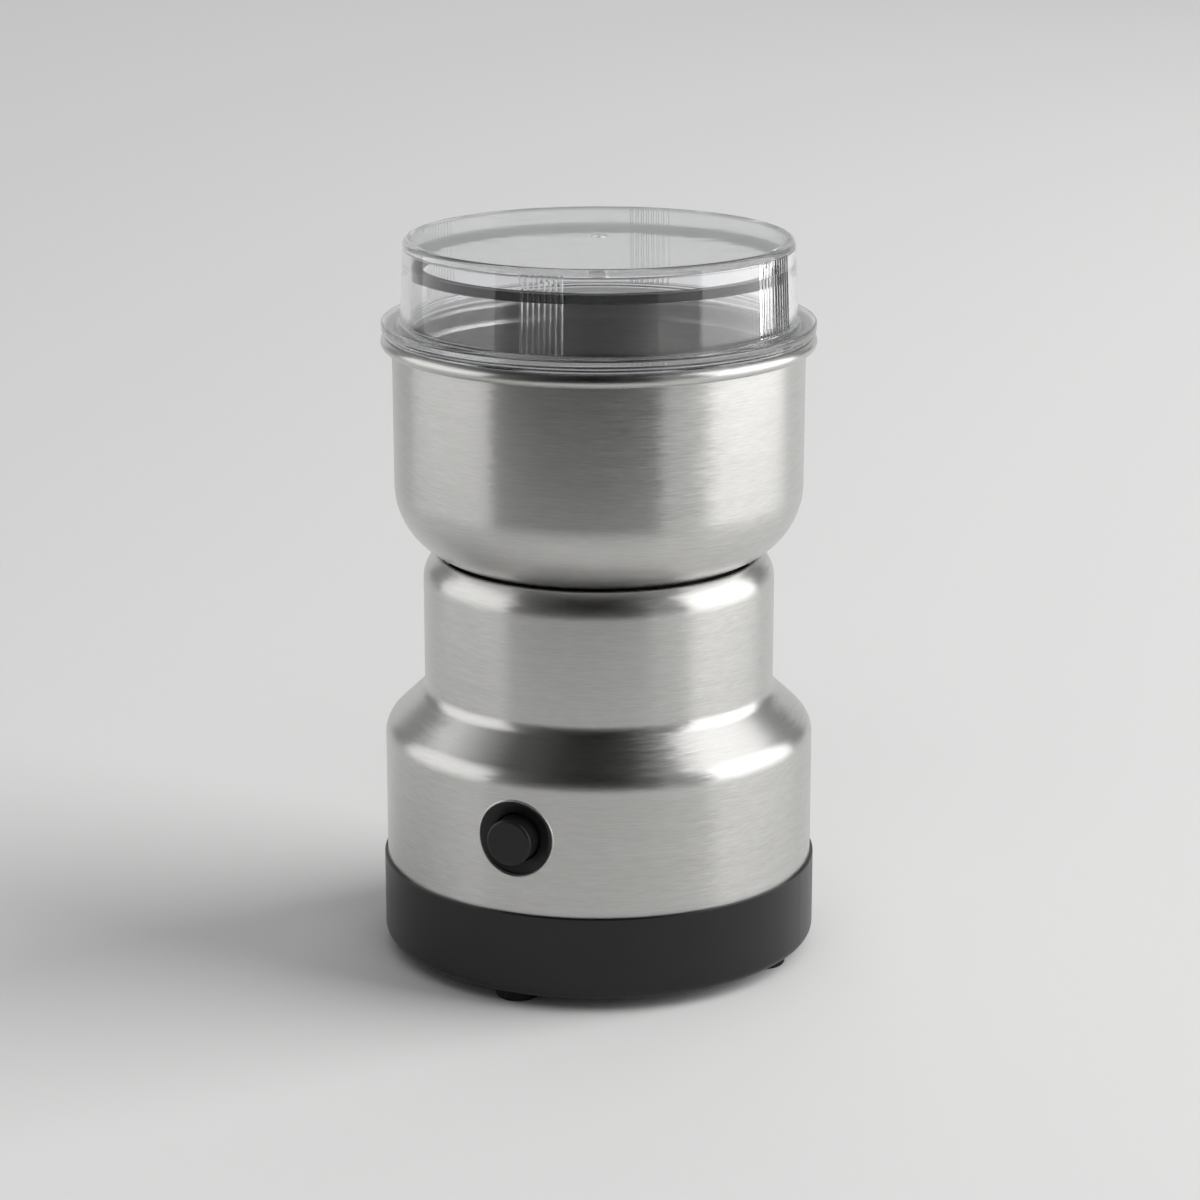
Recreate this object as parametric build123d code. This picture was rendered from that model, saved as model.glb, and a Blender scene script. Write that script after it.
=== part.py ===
from build123d import *
from math import atan2, cos, degrees, pi, radians, sin, sqrt, tan
import os

# Electric grinder: a clear ribbed lid over a drawn steel bowl, on a waisted steel housing
# with a push button, a black base pan and four rubber feet.
# Sizes are in millimetres. It stands on z = 0, Z is its axis, and the button faces -Y.

# Clearances between pieces
shaft_gap = 0.05          # all round the shaft in its bushes, and under the brushes
plunger_gap = 0.1         # all round the switch plunger
button_gap = 0.4          # ring of air round the push button
hole_gap = 0.2            # all round a screw or a boss that passes a hole
end_gap = 0.2             # between two faces that stop a travel
lift_gap = 0.2            # between the resting lid and the bead of the bowl
skirt_gap = 0.4           # between the lid's skirt and the wall of the bowl
rim_gap = 0.95            # dark line between the shoulder of the housing and the bowl
cut_margin = 1.0          # how far a cutting form runs past what it cuts

# Base pan
base_radius = 50.0
base_height = 19.3
base_wall = 2.2
base_floor = 2.0
base_round = 2.0
base_inner_round = 1.2
lip_thickness = 0.75
lip_depth = 4.0
lip_round = 0.25
pan_post_radius = 5.2
base_screw_count = 4
base_screw_angle = 45.0
base_screw_edge = 8.8
base_screw_sink = 6.0
pan_rib_thickness = 1.5
pan_rib_height = 5.0
pan_rib_angle = 22.5
shroud_wall = 1.5
shroud_height = 8.0
shroud_gap = 3.7
shroud_bracket_gap = 0.05
air_slot_count = 16
air_slot_width = 3.0
air_slot_start = 10.0
air_slot_edge = 4.7

# Rubber feet
foot_count = 4
foot_height = 3.0
foot_radius = 5.0
foot_round = 0.8
foot_inset = 8.0
foot_turn = -3.5          # from the button's middle to the foot beside it
foot_stem_radius = 2.3
foot_barb_radius = 3.1
foot_barb_height = 1.8

# Cord inlet
inlet_height = 12.0
inlet_bore_radius = 3.4
inlet_neck_radius = 4.6
inlet_flange_radius = 6.0
inlet_flange_proud = 1.6
inlet_flange_round = 0.6
inlet_flange_inside = 1.5

# Steel housing
steel = 0.6
body_height = 31.3
cone_height = 8.6
neck_step = 9.11
neck_height = 28.8
body_corner_round = 6.2
waist_round = 4.0
shoulder_round = 7.5
shoulder_turn = 46.0
rim_round = 1.2
rim_straight = 0.3
well_round = 0.8

# Bowl and its gasket
bowl_steel = 0.5
bead_inset = 0.15
bowl_flare = 0.18
bowl_height = 51.5
bowl_round = 17.25
bead_radius = 1.5
bead_curl = 250.0
bowl_rise = 5.5
rise_radius = 13.0
rise_slope = 3.5
rise_round = 2.0
gasket_thickness = 1.8
gasket_inner_radius = 18.5
gasket_edge_gap = 1.2
bowl_screw_circle = 24.0
bowl_screw_count = 3

# Lid and its ring
lid_height = 20.7
flange_inset = 0.12
flange_thickness = 2.2
flange_round = 0.5
seat_step = 0.8
seat_inset = 0.78
lid_foot_inset = 0.82
lid_taper = 0.77
lid_wall = 2.2
lid_ceiling = 2.0
lid_top_round = 1.5
skirt_depth = 5.5
skirt_wall = 2.0
dimple_radius = 1.5
dimple_depth = 0.5
dimple_nub_radius = 0.4
lid_ring_below_top = 7.7
lid_ring_height = 2.2
lid_ring_width = 2.7
lid_ring_groove = 0.3
grip_rib_step_angle = 1.65
grip_rib_height = 0.35
grip_rib_width = 0.75
grip_rib_crest = 0.3
small_grip_count = 8
small_grip_angle = 6.1
large_grip_count = 11
large_grip_angle = 82.7

# Push button
button_above_lip = 17.4
button_radius = 5.25
button_proud = 3.5
button_round = 0.7
button_travel = 2.8
button_crown = 1.6
button_wall = 0.95
button_stem_radius = 1.9
collar_step = 1.15
collar_thickness = 1.8
bezel_radius = 8.7
bezel_dish = 1.3
bezel_rim = 0.5
bezel_set_back = 0.1
bezel_flange_radius = 10.5
bezel_flange_thickness = 2.0
bezel_wall = 1.3
bezel_depth = 12.0
button_spring_gap = 0.75
button_spring_wire = 0.35
button_spring_turns = 5

# Switch and its bracket
bracket_thickness = 2.0
bracket_margin = 0.6
bracket_above_button = 8.0
bracket_foot_depth = 8.0
bracket_screw_edge = 3.5
pan_pad_height = 3.0
pan_pad_radius = 3.3
plunger_radius = 1.5
plunger_length = 7.5
plunger_hole_radius = 2.6
switch_width = 19.8
switch_depth = 10.2
switch_thickness = 6.4
switch_round = 0.8
switch_screw_spread = 4.75
switch_screw_radius = 1.1
switch_screw_back = 7.6
tab_thickness = 0.6
tab_length = 5.0
tab_edge = 0.8
tab_spread = 7.6

# Motor
shaft_radius = 3.0
armature_shaft_radius = 4.0
shaft_shoulder_gap = 0.5
shaft_chamfer = 0.6
shaft_tail = 1.0
stack_height = 30.0
stator_back = 5.0
stator_yoke = 6.9
stator_round = 9.0
air_gap = 0.5
armature_radius = 14.9
armature_slot_count = 12
armature_slot_inset = 3.6
armature_slot_radius = 1.7
armature_slot_mouth = 1.5
winding_slack = 0.1
winding_gap = 0.4
winding_overhang = 6.4
winding_inset = 1.3
winding_hub_step = 1.4
pole_half_width = 12.5
coil_side = 4.8
coil_depth = 6.6
coil_window_reach = 24.0
coil_gap = 0.3
motor_screw_offset = 21.2
motor_screw_radius = 1.7
motor_screw_cover = 1.0
motor_post_radius = 3.2
commutator_radius = 9.0
commutator_gap = 1.5
commutator_height = 8.7
commutator_bar_count = 12
commutator_groove = 0.5
riser_height = 1.2
riser_step = 1.5
brush_half_width = 2.6
brush_rise = 4.5
brush_length = 9.9
brush_slack = 0.1
holder_wall = 0.9
holder_length = 16.0
holder_gap = 0.5
brush_seat_inset = 1.0
brush_spring_inset = 0.7
brush_spring_wire = 0.3
brush_spring_turns = 6
bush_radius = 6.0
bush_length = 10.0
bush_rim = 0.6
bush_wall = 2.0
lower_plate_thickness = 3.0
lower_plate_radius = 27.0
lower_hub_radius = 9.5
lower_hub_drop = 5.0
lower_hub_bore_gap = 1.0
lower_vent_angle = 22.5
lower_arm_width = 9.0
lower_post_radius = 4.4
lower_post_depth = 2.0
upper_disc_edge_gap = 0.6
upper_disc_thickness = 4.0
upper_boss_radius = 10.8
screw_boss_radius = 3.4
screw_boss_length = 3.6

# Fan
fan_floor_gap = 4.5
fan_hub_gap = 2.3
fan_blade_height = 6.0
fan_disc = 1.2
fan_hub_radius = 6.5
fan_blade_count = 9
fan_blade_thickness = 1.2
fan_blade_curve = 14.0

# Blades
seal_radius = 5.0
seal_flange_radius = 6.6
seal_flange_height = 1.2
collar_gap = 0.4
blade_collar_radius = 6.0
blade_collar_height = 3.1
blade_steel = 1.5
blade_reach = 33.0
blade_hub_width = 15.0
blade_tip_width = 8.0
blade_tip_round = 2.8
blade_bend_start = 9.0
blade_bend_round = 4.0
upper_blade_angle = 26.0
lower_blade_angle = -9.0
blade_bevel_width = 3.4
blade_edge = 0.25
washer_radius = 6.4
washer_thickness = 0.8
nut_across_flats = 10.0
nut_height = 4.0
nut_dome = 2.6
nut_dome_step = 0.4
nut_dome_round = 2.3

# Screws
screw_radius = 1.5
screw_head_radius = 3.0
screw_head_height = 2.0
head_round_share = 0.6
slot_length_share = 1.1
screw_slot_width = 0.9
screw_slot_depth = 0.8
small_head_radius = 2.0
small_head_height = 1.4

# Terminal block
block_width = 17.0
block_depth = 10.0
block_height = 10.0
block_edge_gap = 9.8
block_round = 0.8
block_pole_spread = 4.2
block_wire_radius = 1.5
block_screw_radius = 1.6
block_screw_tip = 0.9
block_screw_sink = 1.0

# Levels and radii that follow from the sizes above
base_bottom = foot_height
base_inside = base_bottom + base_floor
base_inner_radius = base_radius - base_wall
lip_top = base_bottom + base_height
shell_foot = lip_top - lip_depth
body_radius = base_radius - lip_thickness
body_inner_radius = body_radius - steel
neck_radius = body_radius - neck_step
bead_outer_radius = body_radius - bead_inset
bowl_radius = bead_outer_radius - 2 * bead_radius + bowl_steel - bowl_flare
base_screw_circle = base_inner_radius - base_screw_edge
foot_circle = base_radius - foot_inset
body_corner = lip_top + body_height
waist = body_corner + cone_height
plate_top = waist + neck_height
plate_bottom = plate_top - steel
bowl_bottom = plate_top + gasket_thickness
bowl_floor = bowl_bottom + bowl_steel
bowl_top = bowl_bottom + bowl_height
bowl_wall_top = bowl_top - bead_radius
rise_bottom = bowl_bottom + bowl_rise
rise_top = rise_bottom + bowl_steel
lid_seat = bowl_top + lift_gap
flange_bottom = lid_seat + seat_step
flange_top = flange_bottom + flange_thickness
lid_top = flange_bottom + lid_height
lid_ceiling_bottom = lid_top - lid_ceiling
skirt_radius = bowl_radius - bowl_steel - skirt_gap
flange_radius = bead_outer_radius - flange_inset
seat_radius = flange_radius - seat_inset
lid_foot_radius = skirt_radius - lid_foot_inset
lid_top_radius = lid_foot_radius - lid_taper
button_level = lip_top + button_above_lip
button_front = -body_radius - button_proud
sleeve_back = -body_radius + bezel_depth
sleeve_bore_radius = button_radius + button_gap
collar_radius = button_radius + collar_step
button_pocket_radius = button_radius - button_wall
button_spring_radius = button_pocket_radius - button_spring_gap - button_spring_wire
collar_back = sleeve_back - button_travel - end_gap
collar_front = collar_back - collar_thickness
collar_seat = collar_front - end_gap
button_pocket_bottom = button_front + button_crown + button_proud
plunger_front = collar_back + button_gap
bracket_back = sleeve_back + bracket_thickness
bracket_foot_end = bracket_back + bracket_foot_depth
bracket_half_width = switch_width / 2 + bracket_margin
bracket_screw_spread = bracket_half_width - bracket_screw_edge
shroud_outer_radius = -bracket_foot_end - shroud_bracket_gap
shroud_radius = shroud_outer_radius - shroud_wall
fan_radius = shroud_radius - shroud_gap
air_slot_end = shroud_radius - air_slot_edge
fan_bottom = base_inside + fan_floor_gap
fan_top = fan_bottom + fan_blade_height + fan_disc
lower_hub_bottom = fan_top + fan_hub_gap
lower_bush_top = lower_hub_bottom + bush_length
lower_plate_bottom = lower_hub_bottom + lower_hub_drop
lower_plate_top = lower_plate_bottom + lower_plate_thickness
pan_post_top = lower_plate_bottom - lower_post_depth
commutator_bottom = lower_bush_top + commutator_gap
commutator_top = commutator_bottom + commutator_height
riser_radius = commutator_radius + riser_step
brush_level = commutator_bottom + brush_rise
holder_start = riser_radius + holder_gap
holder_end = holder_start + holder_length
brush_start = commutator_radius + shaft_gap
brush_spring_radius = brush_half_width - brush_spring_inset
winding_bottom = commutator_top + winding_gap
stack_bottom = winding_bottom + winding_overhang
stack_top = stack_bottom + stack_height
winding_top = stack_top + winding_overhang
armature_slot_circle = armature_radius - armature_slot_inset
winding_bar_radius = armature_slot_radius - winding_slack
winding_outer_radius = armature_radius - winding_inset
winding_inner_radius = armature_shaft_radius + winding_hub_step
coil_window_top = pole_half_width + coil_side + coil_gap
stator_half_x = coil_window_reach + stator_back
stator_half_y = coil_window_top + stator_yoke
block_distance = base_inner_radius - block_edge_gap - block_depth / 2
upper_disc_bottom = plate_bottom - upper_disc_thickness
upper_bush_top = rise_bottom - seal_flange_height
upper_bush_bottom = upper_bush_top - bush_length
seal_top = rise_top + seal_flange_height
blade_collar_bottom = seal_top + collar_gap
lower_blade_bottom = blade_collar_bottom + blade_collar_height
upper_blade_bottom = lower_blade_bottom + blade_steel
washer_bottom = upper_blade_bottom + blade_steel
nut_bottom = washer_bottom + washer_thickness
nut_top = nut_bottom + nut_height + nut_dome
shaft_top = nut_bottom + nut_height

UPRIGHT = (Align.CENTER, Align.CENTER, Align.MIN)
HERE = Pos(0, 0, 0)


# Helpers

def rod(radius, bottom, top, place=HERE):
    """Upright cylinder between two heights."""
    return place * Pos(0, 0, bottom) * Cylinder(radius, top - bottom, align=UPRIGHT)


def tube(outer, inner, bottom, top, place=HERE):
    """Upright tube between two heights."""
    return rod(outer, bottom, top, place) - rod(inner, bottom, top, place)


def lying(radius, start, end, level):
    """Round bar along Y between two places, at a level."""
    return Pos(0, start, level) * Rot(-90, 0, 0) * Cylinder(radius, end - start, align=UPRIGHT)


def block(x_low, x_high, y_low, y_high, z_low, z_high):
    """Upright box between its lowest and highest corners."""
    form = Box(x_high - x_low, y_high - y_low, z_high - z_low, align=(Align.MIN, Align.MIN, Align.MIN))
    return Pos(x_low, y_low, z_low) * form


def around(count, start=0.0):
    """Turns about the axis that share a circle out evenly."""
    return [Rot(0, 0, start + 360 / count * number) for number in range(count)]


def out(turn, distance):
    """Place at a distance from the axis, counted from the button's side."""
    return turn * Pos(0, -distance, 0)


def outline(*corners):
    """Closed outline through corners given as (x, y), or as (x, y, round)."""
    points = [corner[:2] for corner in corners]
    rounds = [corner[2] if len(corner) == 3 else 0 for corner in corners]
    return make_face(FilletPolyline(*points, radius=rounds, close=True))


def turned(section):
    """Solid made by turning a section, drawn as (radius, height), about the axis."""
    return revolve(Plane.XZ * section, Axis.Z)


def turned_facing_front(section, level):
    """Solid turned about a line along Y at a level, from a section drawn as (radius, y)."""
    return Pos(0, 0, level) * Rot(-90, 0, 0) * turned(section)


def set_in(path, rounds, depth):
    """A path and its corner rounds, moved to its left by a depth."""
    headings = [(Vector(*end) - Vector(*start)).normalized() for start, end in zip(path, path[1:])]
    sides = [Vector(-heading.Y, heading.X) for heading in headings]
    moved = [Vector(*path[0]) + sides[0] * depth]
    moved_rounds = []
    for number, corner in enumerate(path[1:-1]):
        first, second = sides[number], sides[number + 1]
        moved.append(Vector(*corner) + (first + second) * (depth / (1 + first.dot(second))))
        turns_left = headings[number].cross(headings[number + 1]).Z > 0
        moved_rounds.append(rounds[number] - depth if turns_left else rounds[number] + depth)
    moved.append(Vector(*path[-1]) + sides[-1] * depth)
    return [(point.X, point.Y) for point in moved], moved_rounds


def sheet(path, rounds, thickness):
    """Section of drawn sheet: the path is one side of it, and the metal lies to the path's left."""
    back, back_rounds = set_in(path, rounds, thickness)
    front = FilletPolyline(*path, radius=rounds)
    behind = FilletPolyline(*back, radius=back_rounds)
    return make_face([*front.edges(), *behind.edges(), Line(path[0], back[0]), Line(path[-1], back[-1])])


def screw(length, radius=screw_radius, head=screw_head_radius, height=screw_head_height):
    """Pan head screw with a cross slot, pointing down, its head standing on z = 0."""
    head_form = outline((0, 0), (head, 0), (head, height, height * head_round_share), (0, height))
    form = turned(head_form) + rod(radius, -length, 0)
    slot = Box(head * slot_length_share, screw_slot_width, screw_slot_depth,
               align=(Align.CENTER, Align.CENTER, Align.MAX))
    cross = Pos(0, 0, height) * (slot + Rot(0, 0, 90) * slot)
    return form - cross


def coil_spring(radius, wire, length, turns):
    """Round coil standing on z = 0, of square wire with the section of a round wire's radius."""
    pitch = (length - 2 * wire) / turns
    path = Pos(0, 0, wire) * Helix(pitch, length - 2 * wire, radius)
    side = sqrt(pi) * wire
    wire_section = Plane(path @ 0, z_dir=path % 0) * Rectangle(side, side)
    return sweep(wire_section, path, is_frenet=True)


# Places that several pieces share

def foot_places():
    """The four rubber feet under the pan."""
    return [out(turn, foot_circle) for turn in around(foot_count, foot_turn)]


def base_screw_places():
    """The four screws that hold the pan to the lower bracket."""
    return [out(turn, base_screw_circle) for turn in around(base_screw_count, base_screw_angle)]


def bowl_screw_places():
    """The screws through the floor of the bowl."""
    return [out(turn, bowl_screw_circle) for turn in around(bowl_screw_count)]


def motor_screw_places():
    """The four long screws through the corners of the stator."""
    return [Pos(x * motor_screw_offset, y * motor_screw_offset, 0) for x in (-1, 1) for y in (-1, 1)]


def bracket_screw_places():
    """The two screws that hold the foot of the switch bracket."""
    middle = (bracket_back + bracket_foot_end) / 2
    return [Pos(side * bracket_screw_spread, middle, 0) for side in (-1, 1)]


def switch_screw_places():
    """The two small screws through the switch."""
    back = bracket_back + switch_screw_back
    return [Pos(side * switch_screw_spread, back, 0) for side in (-1, 1)]


def bowl_underside(radius):
    """Height of the outside of the bowl above a radius of its floor or its lower round."""
    beyond = max(0.0, radius - (bowl_radius - bowl_round))
    return bowl_bottom + bowl_round - sqrt(bowl_round ** 2 - beyond ** 2)


# Base pan, feet and cord inlet

def base_pan():
    """Moulded pan with a rebate for the housing, screw posts, ribs, a fan shroud and air slots."""
    pan = turned(outline(
        (0, base_bottom), (base_radius, base_bottom, base_round), (base_radius, lip_top, lip_round),
        (body_radius, lip_top), (body_radius, shell_foot), (base_inner_radius, shell_foot),
        (base_inner_radius, base_inside, base_inner_round), (0, base_inside)))
    pan += tube(shroud_outer_radius, shroud_radius, base_inside, base_inside + shroud_height)
    rib_start = shroud_radius + shroud_wall / 2
    rib = block(-pan_rib_thickness / 2, pan_rib_thickness / 2, -base_inner_radius - base_wall / 2, -rib_start,
                base_inside, base_inside + pan_rib_height)
    pan += [Rot(0, 0, side + step) * rib for side in (90, 270) for step in (-pan_rib_angle, pan_rib_angle)]
    pan += [rod(pan_post_radius, base_inside, pan_post_top, place) for place in base_screw_places()]
    pads = [rod(pan_pad_radius, base_inside, base_inside + pan_pad_height, place)
            for place in bracket_screw_places()]
    pan += pads
    sink_top = base_bottom + base_screw_sink
    for place in base_screw_places():
        pan -= rod(screw_radius + hole_gap, sink_top, pan_post_top, place)
        pan -= rod(screw_head_radius + hole_gap, base_bottom, sink_top, place)
    for place in bracket_screw_places():
        pan -= rod(screw_radius, base_bottom + base_floor / 2, base_inside + pan_pad_height, place)
    for place in foot_places():
        pan -= rod(foot_stem_radius, base_bottom, base_inside, place)
    slot_length = air_slot_end - air_slot_start
    slot = Pos(0, -(air_slot_start + air_slot_end) / 2, base_bottom) * extrude(
        SlotOverall(slot_length, air_slot_width, rotation=90), base_floor)
    pan -= [turn * slot for turn in around(air_slot_count)]
    inlet_start, inlet_end = base_inner_radius - cut_margin, base_radius + cut_margin
    return pan - lying(inlet_neck_radius, inlet_start, inlet_end, inlet_height)


def rubber_feet():
    """Four feet, each with a stem and a barb that snap through the floor of the pan."""
    foot = turned(outline(
        (0, 0), (foot_radius, 0, foot_round), (foot_radius, base_bottom), (foot_stem_radius, base_bottom),
        (foot_stem_radius, base_inside), (foot_barb_radius, base_inside),
        (foot_stem_radius, base_inside + foot_barb_height), (0, base_inside + foot_barb_height)))
    return Compound(children=[place * foot for place in foot_places()])


def base_screws():
    """Screws from under the pan into the posts of the lower bracket."""
    sink_top = base_bottom + base_screw_sink
    length = lower_plate_bottom - sink_top
    upward = Pos(0, 0, sink_top) * Rot(180, 0, 0) * screw(length)
    return Compound(children=[place * upward for place in base_screw_places()])


def cord_grommet():
    """Rubber bush in the rear wall of the pan, with the bore that the mains lead passes."""
    outside, inside = base_radius, base_inner_radius
    low, high = inside - inlet_flange_inside, outside + inlet_flange_proud
    form = turned(outline(
        (inlet_bore_radius, low), (inlet_flange_radius, low), (inlet_flange_radius, inside),
        (inlet_flange_radius, high, inlet_flange_round), (inlet_bore_radius, high, inlet_flange_round)))
    flanges = Pos(0, 0, inlet_height) * Rot(-90, 0, 0) * form
    wall = tube(base_radius, base_inner_radius, base_bottom, lip_top)
    start, end = inside - cut_margin, outside + cut_margin
    neck = lying(inlet_neck_radius, start, end, inlet_height)
    neck -= lying(inlet_bore_radius, start, end, inlet_height)
    return flanges - wall + (neck & wall)


# Steel housing

def shoulder_corners():
    """The two corners of the shoulder and its rim, placed so that the rim clears the bowl."""
    turn = radians(shoulder_turn)
    shoulder_reach = shoulder_round * tan(turn / 2)
    rim_reach = rim_round * tan((radians(180) - turn) / 2)
    slope = shoulder_reach + rim_straight + rim_reach
    rim_radius = neck_radius - slope * sin(turn)
    rim_corner = bowl_underside(rim_radius + rim_round) - rim_gap - rim_round + rim_reach
    return (neck_radius, rim_corner - slope * cos(turn)), (rim_radius, rim_corner)


def housing_section():
    """Section of the drawn housing, from its foot in the pan to the plate that carries the bowl."""
    shoulder, rim = shoulder_corners()
    path = [(body_radius, shell_foot), (body_radius, body_corner), (neck_radius, waist), shoulder, rim,
            (rim[0], plate_top), (upper_boss_radius + hole_gap, plate_top)]
    return sheet(path, [body_corner_round, waist_round, shoulder_round, rim_round, well_round], steel)


def body_shell():
    """Waisted steel housing with the round hole for the button's bezel."""
    shell = turned(housing_section())
    hole_radius = bezel_radius + bezel_set_back
    shell -= lying(hole_radius, -body_radius - cut_margin, -body_inner_radius + bezel_dish, button_level)
    for place in bowl_screw_places():
        shell -= rod(screw_radius + hole_gap, plate_bottom, plate_top, place)
    return shell


# Bowl

def bowl_path():
    """Underside of the bowl from its centre hole out to the top of its wall."""
    return [(seal_radius, rise_bottom), (rise_radius, rise_bottom), (rise_radius + rise_slope, bowl_bottom),
            (bowl_radius, bowl_bottom), (bowl_radius + bowl_flare, bowl_wall_top)]


def bead_section():
    """Section of the rolled bead, curled outwards from the top of the wall."""
    curl = Circle(bead_radius) - Circle(bead_radius - bowl_steel)
    reach = 2 * bead_radius
    end = radians(bead_curl)
    opening = outline((0, 0), (-reach, 0), (-reach, -reach), (reach * cos(end), reach * sin(end)))
    centre = bowl_radius + bowl_flare - bowl_steel + bead_radius
    return Pos(centre, bowl_wall_top) * (curl - opening)


def bowl():
    """Deep drawn bowl with a raised centre for the shaft and a rolled bead."""
    wall = sheet(bowl_path(), [rise_round, rise_round, bowl_round], bowl_steel)
    form = turned(wall + bead_section())
    for place in bowl_screw_places():
        form -= rod(screw_radius + hole_gap, bowl_bottom, bowl_floor, place)
    return form


def bowl_gasket():
    """Rubber ring between the housing and the bowl, moulded to the bowl's underside."""
    edge = shoulder_corners()[1][0] - gasket_edge_gap
    blank = tube(edge, gasket_inner_radius, plate_top, bowl_underside(edge))
    filled = outline((0, bowl_bottom), (bowl_radius, bowl_bottom, bowl_round),
                     (bowl_radius + bowl_flare, bowl_wall_top), (0, bowl_wall_top))
    gasket = blank - turned(filled)
    for place in bowl_screw_places():
        gasket -= rod(screw_radius + hole_gap, plate_top, bowl_bottom, place)
    return gasket


def bowl_screws():
    """Screws from inside the bowl into the upper bracket."""
    length = bowl_floor - (upper_disc_bottom - screw_boss_length / 2)
    return Compound(children=[place * Pos(0, 0, bowl_floor) * screw(length) for place in bowl_screw_places()])


# Lid

def lid_outside(level):
    """Outer radius of the lid's tapered wall at a level."""
    share = (level - flange_top) / (lid_top - flange_top)
    return lid_foot_radius + (lid_top_radius - lid_foot_radius) * share


def lid_section():
    """Section of the lid: ceiling, tapered wall, flange that rests on the bead, and skirt."""
    skirt_inside = skirt_radius - skirt_wall
    skirt_bottom = lid_seat - skirt_depth
    wall_foot = lid_foot_radius - lid_wall
    ceiling_edge = lid_outside(lid_ceiling_bottom) - lid_wall
    return outline(
        (0, lid_top), (lid_top_radius, lid_top, lid_top_round), (lid_foot_radius, flange_top, flange_round),
        (flange_radius, flange_top, flange_round), (flange_radius, flange_bottom, flange_round),
        (seat_radius, flange_bottom), (seat_radius, lid_seat), (skirt_radius, lid_seat),
        (skirt_radius, skirt_bottom, flange_round), (skirt_inside, skirt_bottom, flange_round),
        (skirt_inside, flange_bottom), (wall_foot, flange_top),
        (ceiling_edge, lid_ceiling_bottom, flange_round), (0, lid_ceiling_bottom))


def grip_rib():
    """One upright rib on the button's side of the lid's wall, leaning with the wall."""
    rib_top = lid_top - lid_top_round
    half, crest, sunk = grip_rib_width / 2, grip_rib_crest / 2, grip_rib_height
    section = outline((-half, sunk), (half, sunk), (half, 0), (crest, -grip_rib_height),
                      (-crest, -grip_rib_height), (-half, 0))
    foot = Plane((0, -lid_outside(flange_top), flange_top)) * section
    head = Plane((0, -lid_outside(rib_top), rib_top)) * section
    return loft([foot, head])


def grip_rib_angles():
    """Angles of all ribs: a small and a large group, each with its twin across the lid."""
    angles = []
    for count, middle in ((small_grip_count, small_grip_angle), (large_grip_count, large_grip_angle)):
        start = middle - grip_rib_step_angle * (count - 1) / 2
        group = [start + grip_rib_step_angle * number for number in range(count)]
        angles += [angle + side for side in (0, 180) for angle in group]
    return angles


def lid_ring():
    """Black ring that sits in a shallow groove round the inside of the lid."""
    top = lid_top - lid_ring_below_top + lid_ring_height
    bottom = lid_top - lid_ring_below_top
    outer = lid_outside((top + bottom) / 2) - lid_wall + lid_ring_groove
    return tube(outer, outer - lid_ring_width, bottom, top)


def lid_shell():
    """Clear moulded lid with its groups of grip ribs and the small dimple in its top."""
    lid = turned(lid_section())
    dimple = tube(dimple_radius, dimple_nub_radius, lid_top - dimple_depth, lid_top)
    rib = grip_rib()
    lid += [Rot(0, 0, angle) * rib for angle in grip_rib_angles()]
    return lid - dimple - lid_ring()


# Push button

def button_bezel():
    """Dished black bezel in the hole of the housing, with the sleeve that guides the button."""
    bore = collar_radius + button_gap
    sleeve_radius = bore + bezel_wall
    front = -body_radius - bezel_dish
    flange_front = -body_inner_radius + bezel_dish
    flange_back = flange_front + bezel_flange_thickness
    blank = turned_facing_front(outline(
        (sleeve_bore_radius, front), (bezel_radius, front), (bezel_radius, flange_front),
        (bezel_flange_radius, flange_front), (bezel_flange_radius, flange_back),
        (sleeve_radius, flange_back), (sleeve_radius, sleeve_back), (bore, sleeve_back),
        (bore, collar_seat), (sleeve_bore_radius, collar_seat)), button_level)
    seat = turned_facing_front(outline(
        (bezel_radius, front), (bezel_flange_radius, front), (bezel_flange_radius, flange_front),
        (bezel_radius, flange_front)), button_level)
    inside_housing = rod(body_inner_radius, shell_foot, body_corner)
    face = rod(body_radius - bezel_set_back, shell_foot, body_corner)
    dish = turned_facing_front(outline(
        (0, -body_radius - 2 * bezel_dish), (bezel_radius - bezel_rim, -body_radius - 2 * bezel_dish),
        (bezel_radius - bezel_rim, -body_radius + bezel_dish / 2),
        (sleeve_bore_radius, -body_radius + bezel_dish), (0, -body_radius + bezel_dish)), button_level)
    return (blank & face) + (seat & inside_housing) - dish


def push_button():
    """Round button with a collar behind the sleeve's shoulder, a spring pocket and a stem."""
    return turned_facing_front(outline(
        (0, button_front), (button_radius, button_front, button_round), (button_radius, collar_front),
        (collar_radius, collar_front), (collar_radius, collar_back), (button_pocket_radius, collar_back),
        (button_pocket_radius, button_pocket_bottom), (button_stem_radius, button_pocket_bottom),
        (button_stem_radius, plunger_front - plunger_gap), (0, plunger_front - plunger_gap)), button_level)


def button_spring():
    """Return spring between the button's pocket and the switch bracket."""
    length = sleeve_back - button_pocket_bottom
    spring = coil_spring(button_spring_radius, button_spring_wire, length, button_spring_turns)
    return Pos(0, button_pocket_bottom, button_level) * Rot(-90, 0, 0) * spring


# Switch

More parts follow.
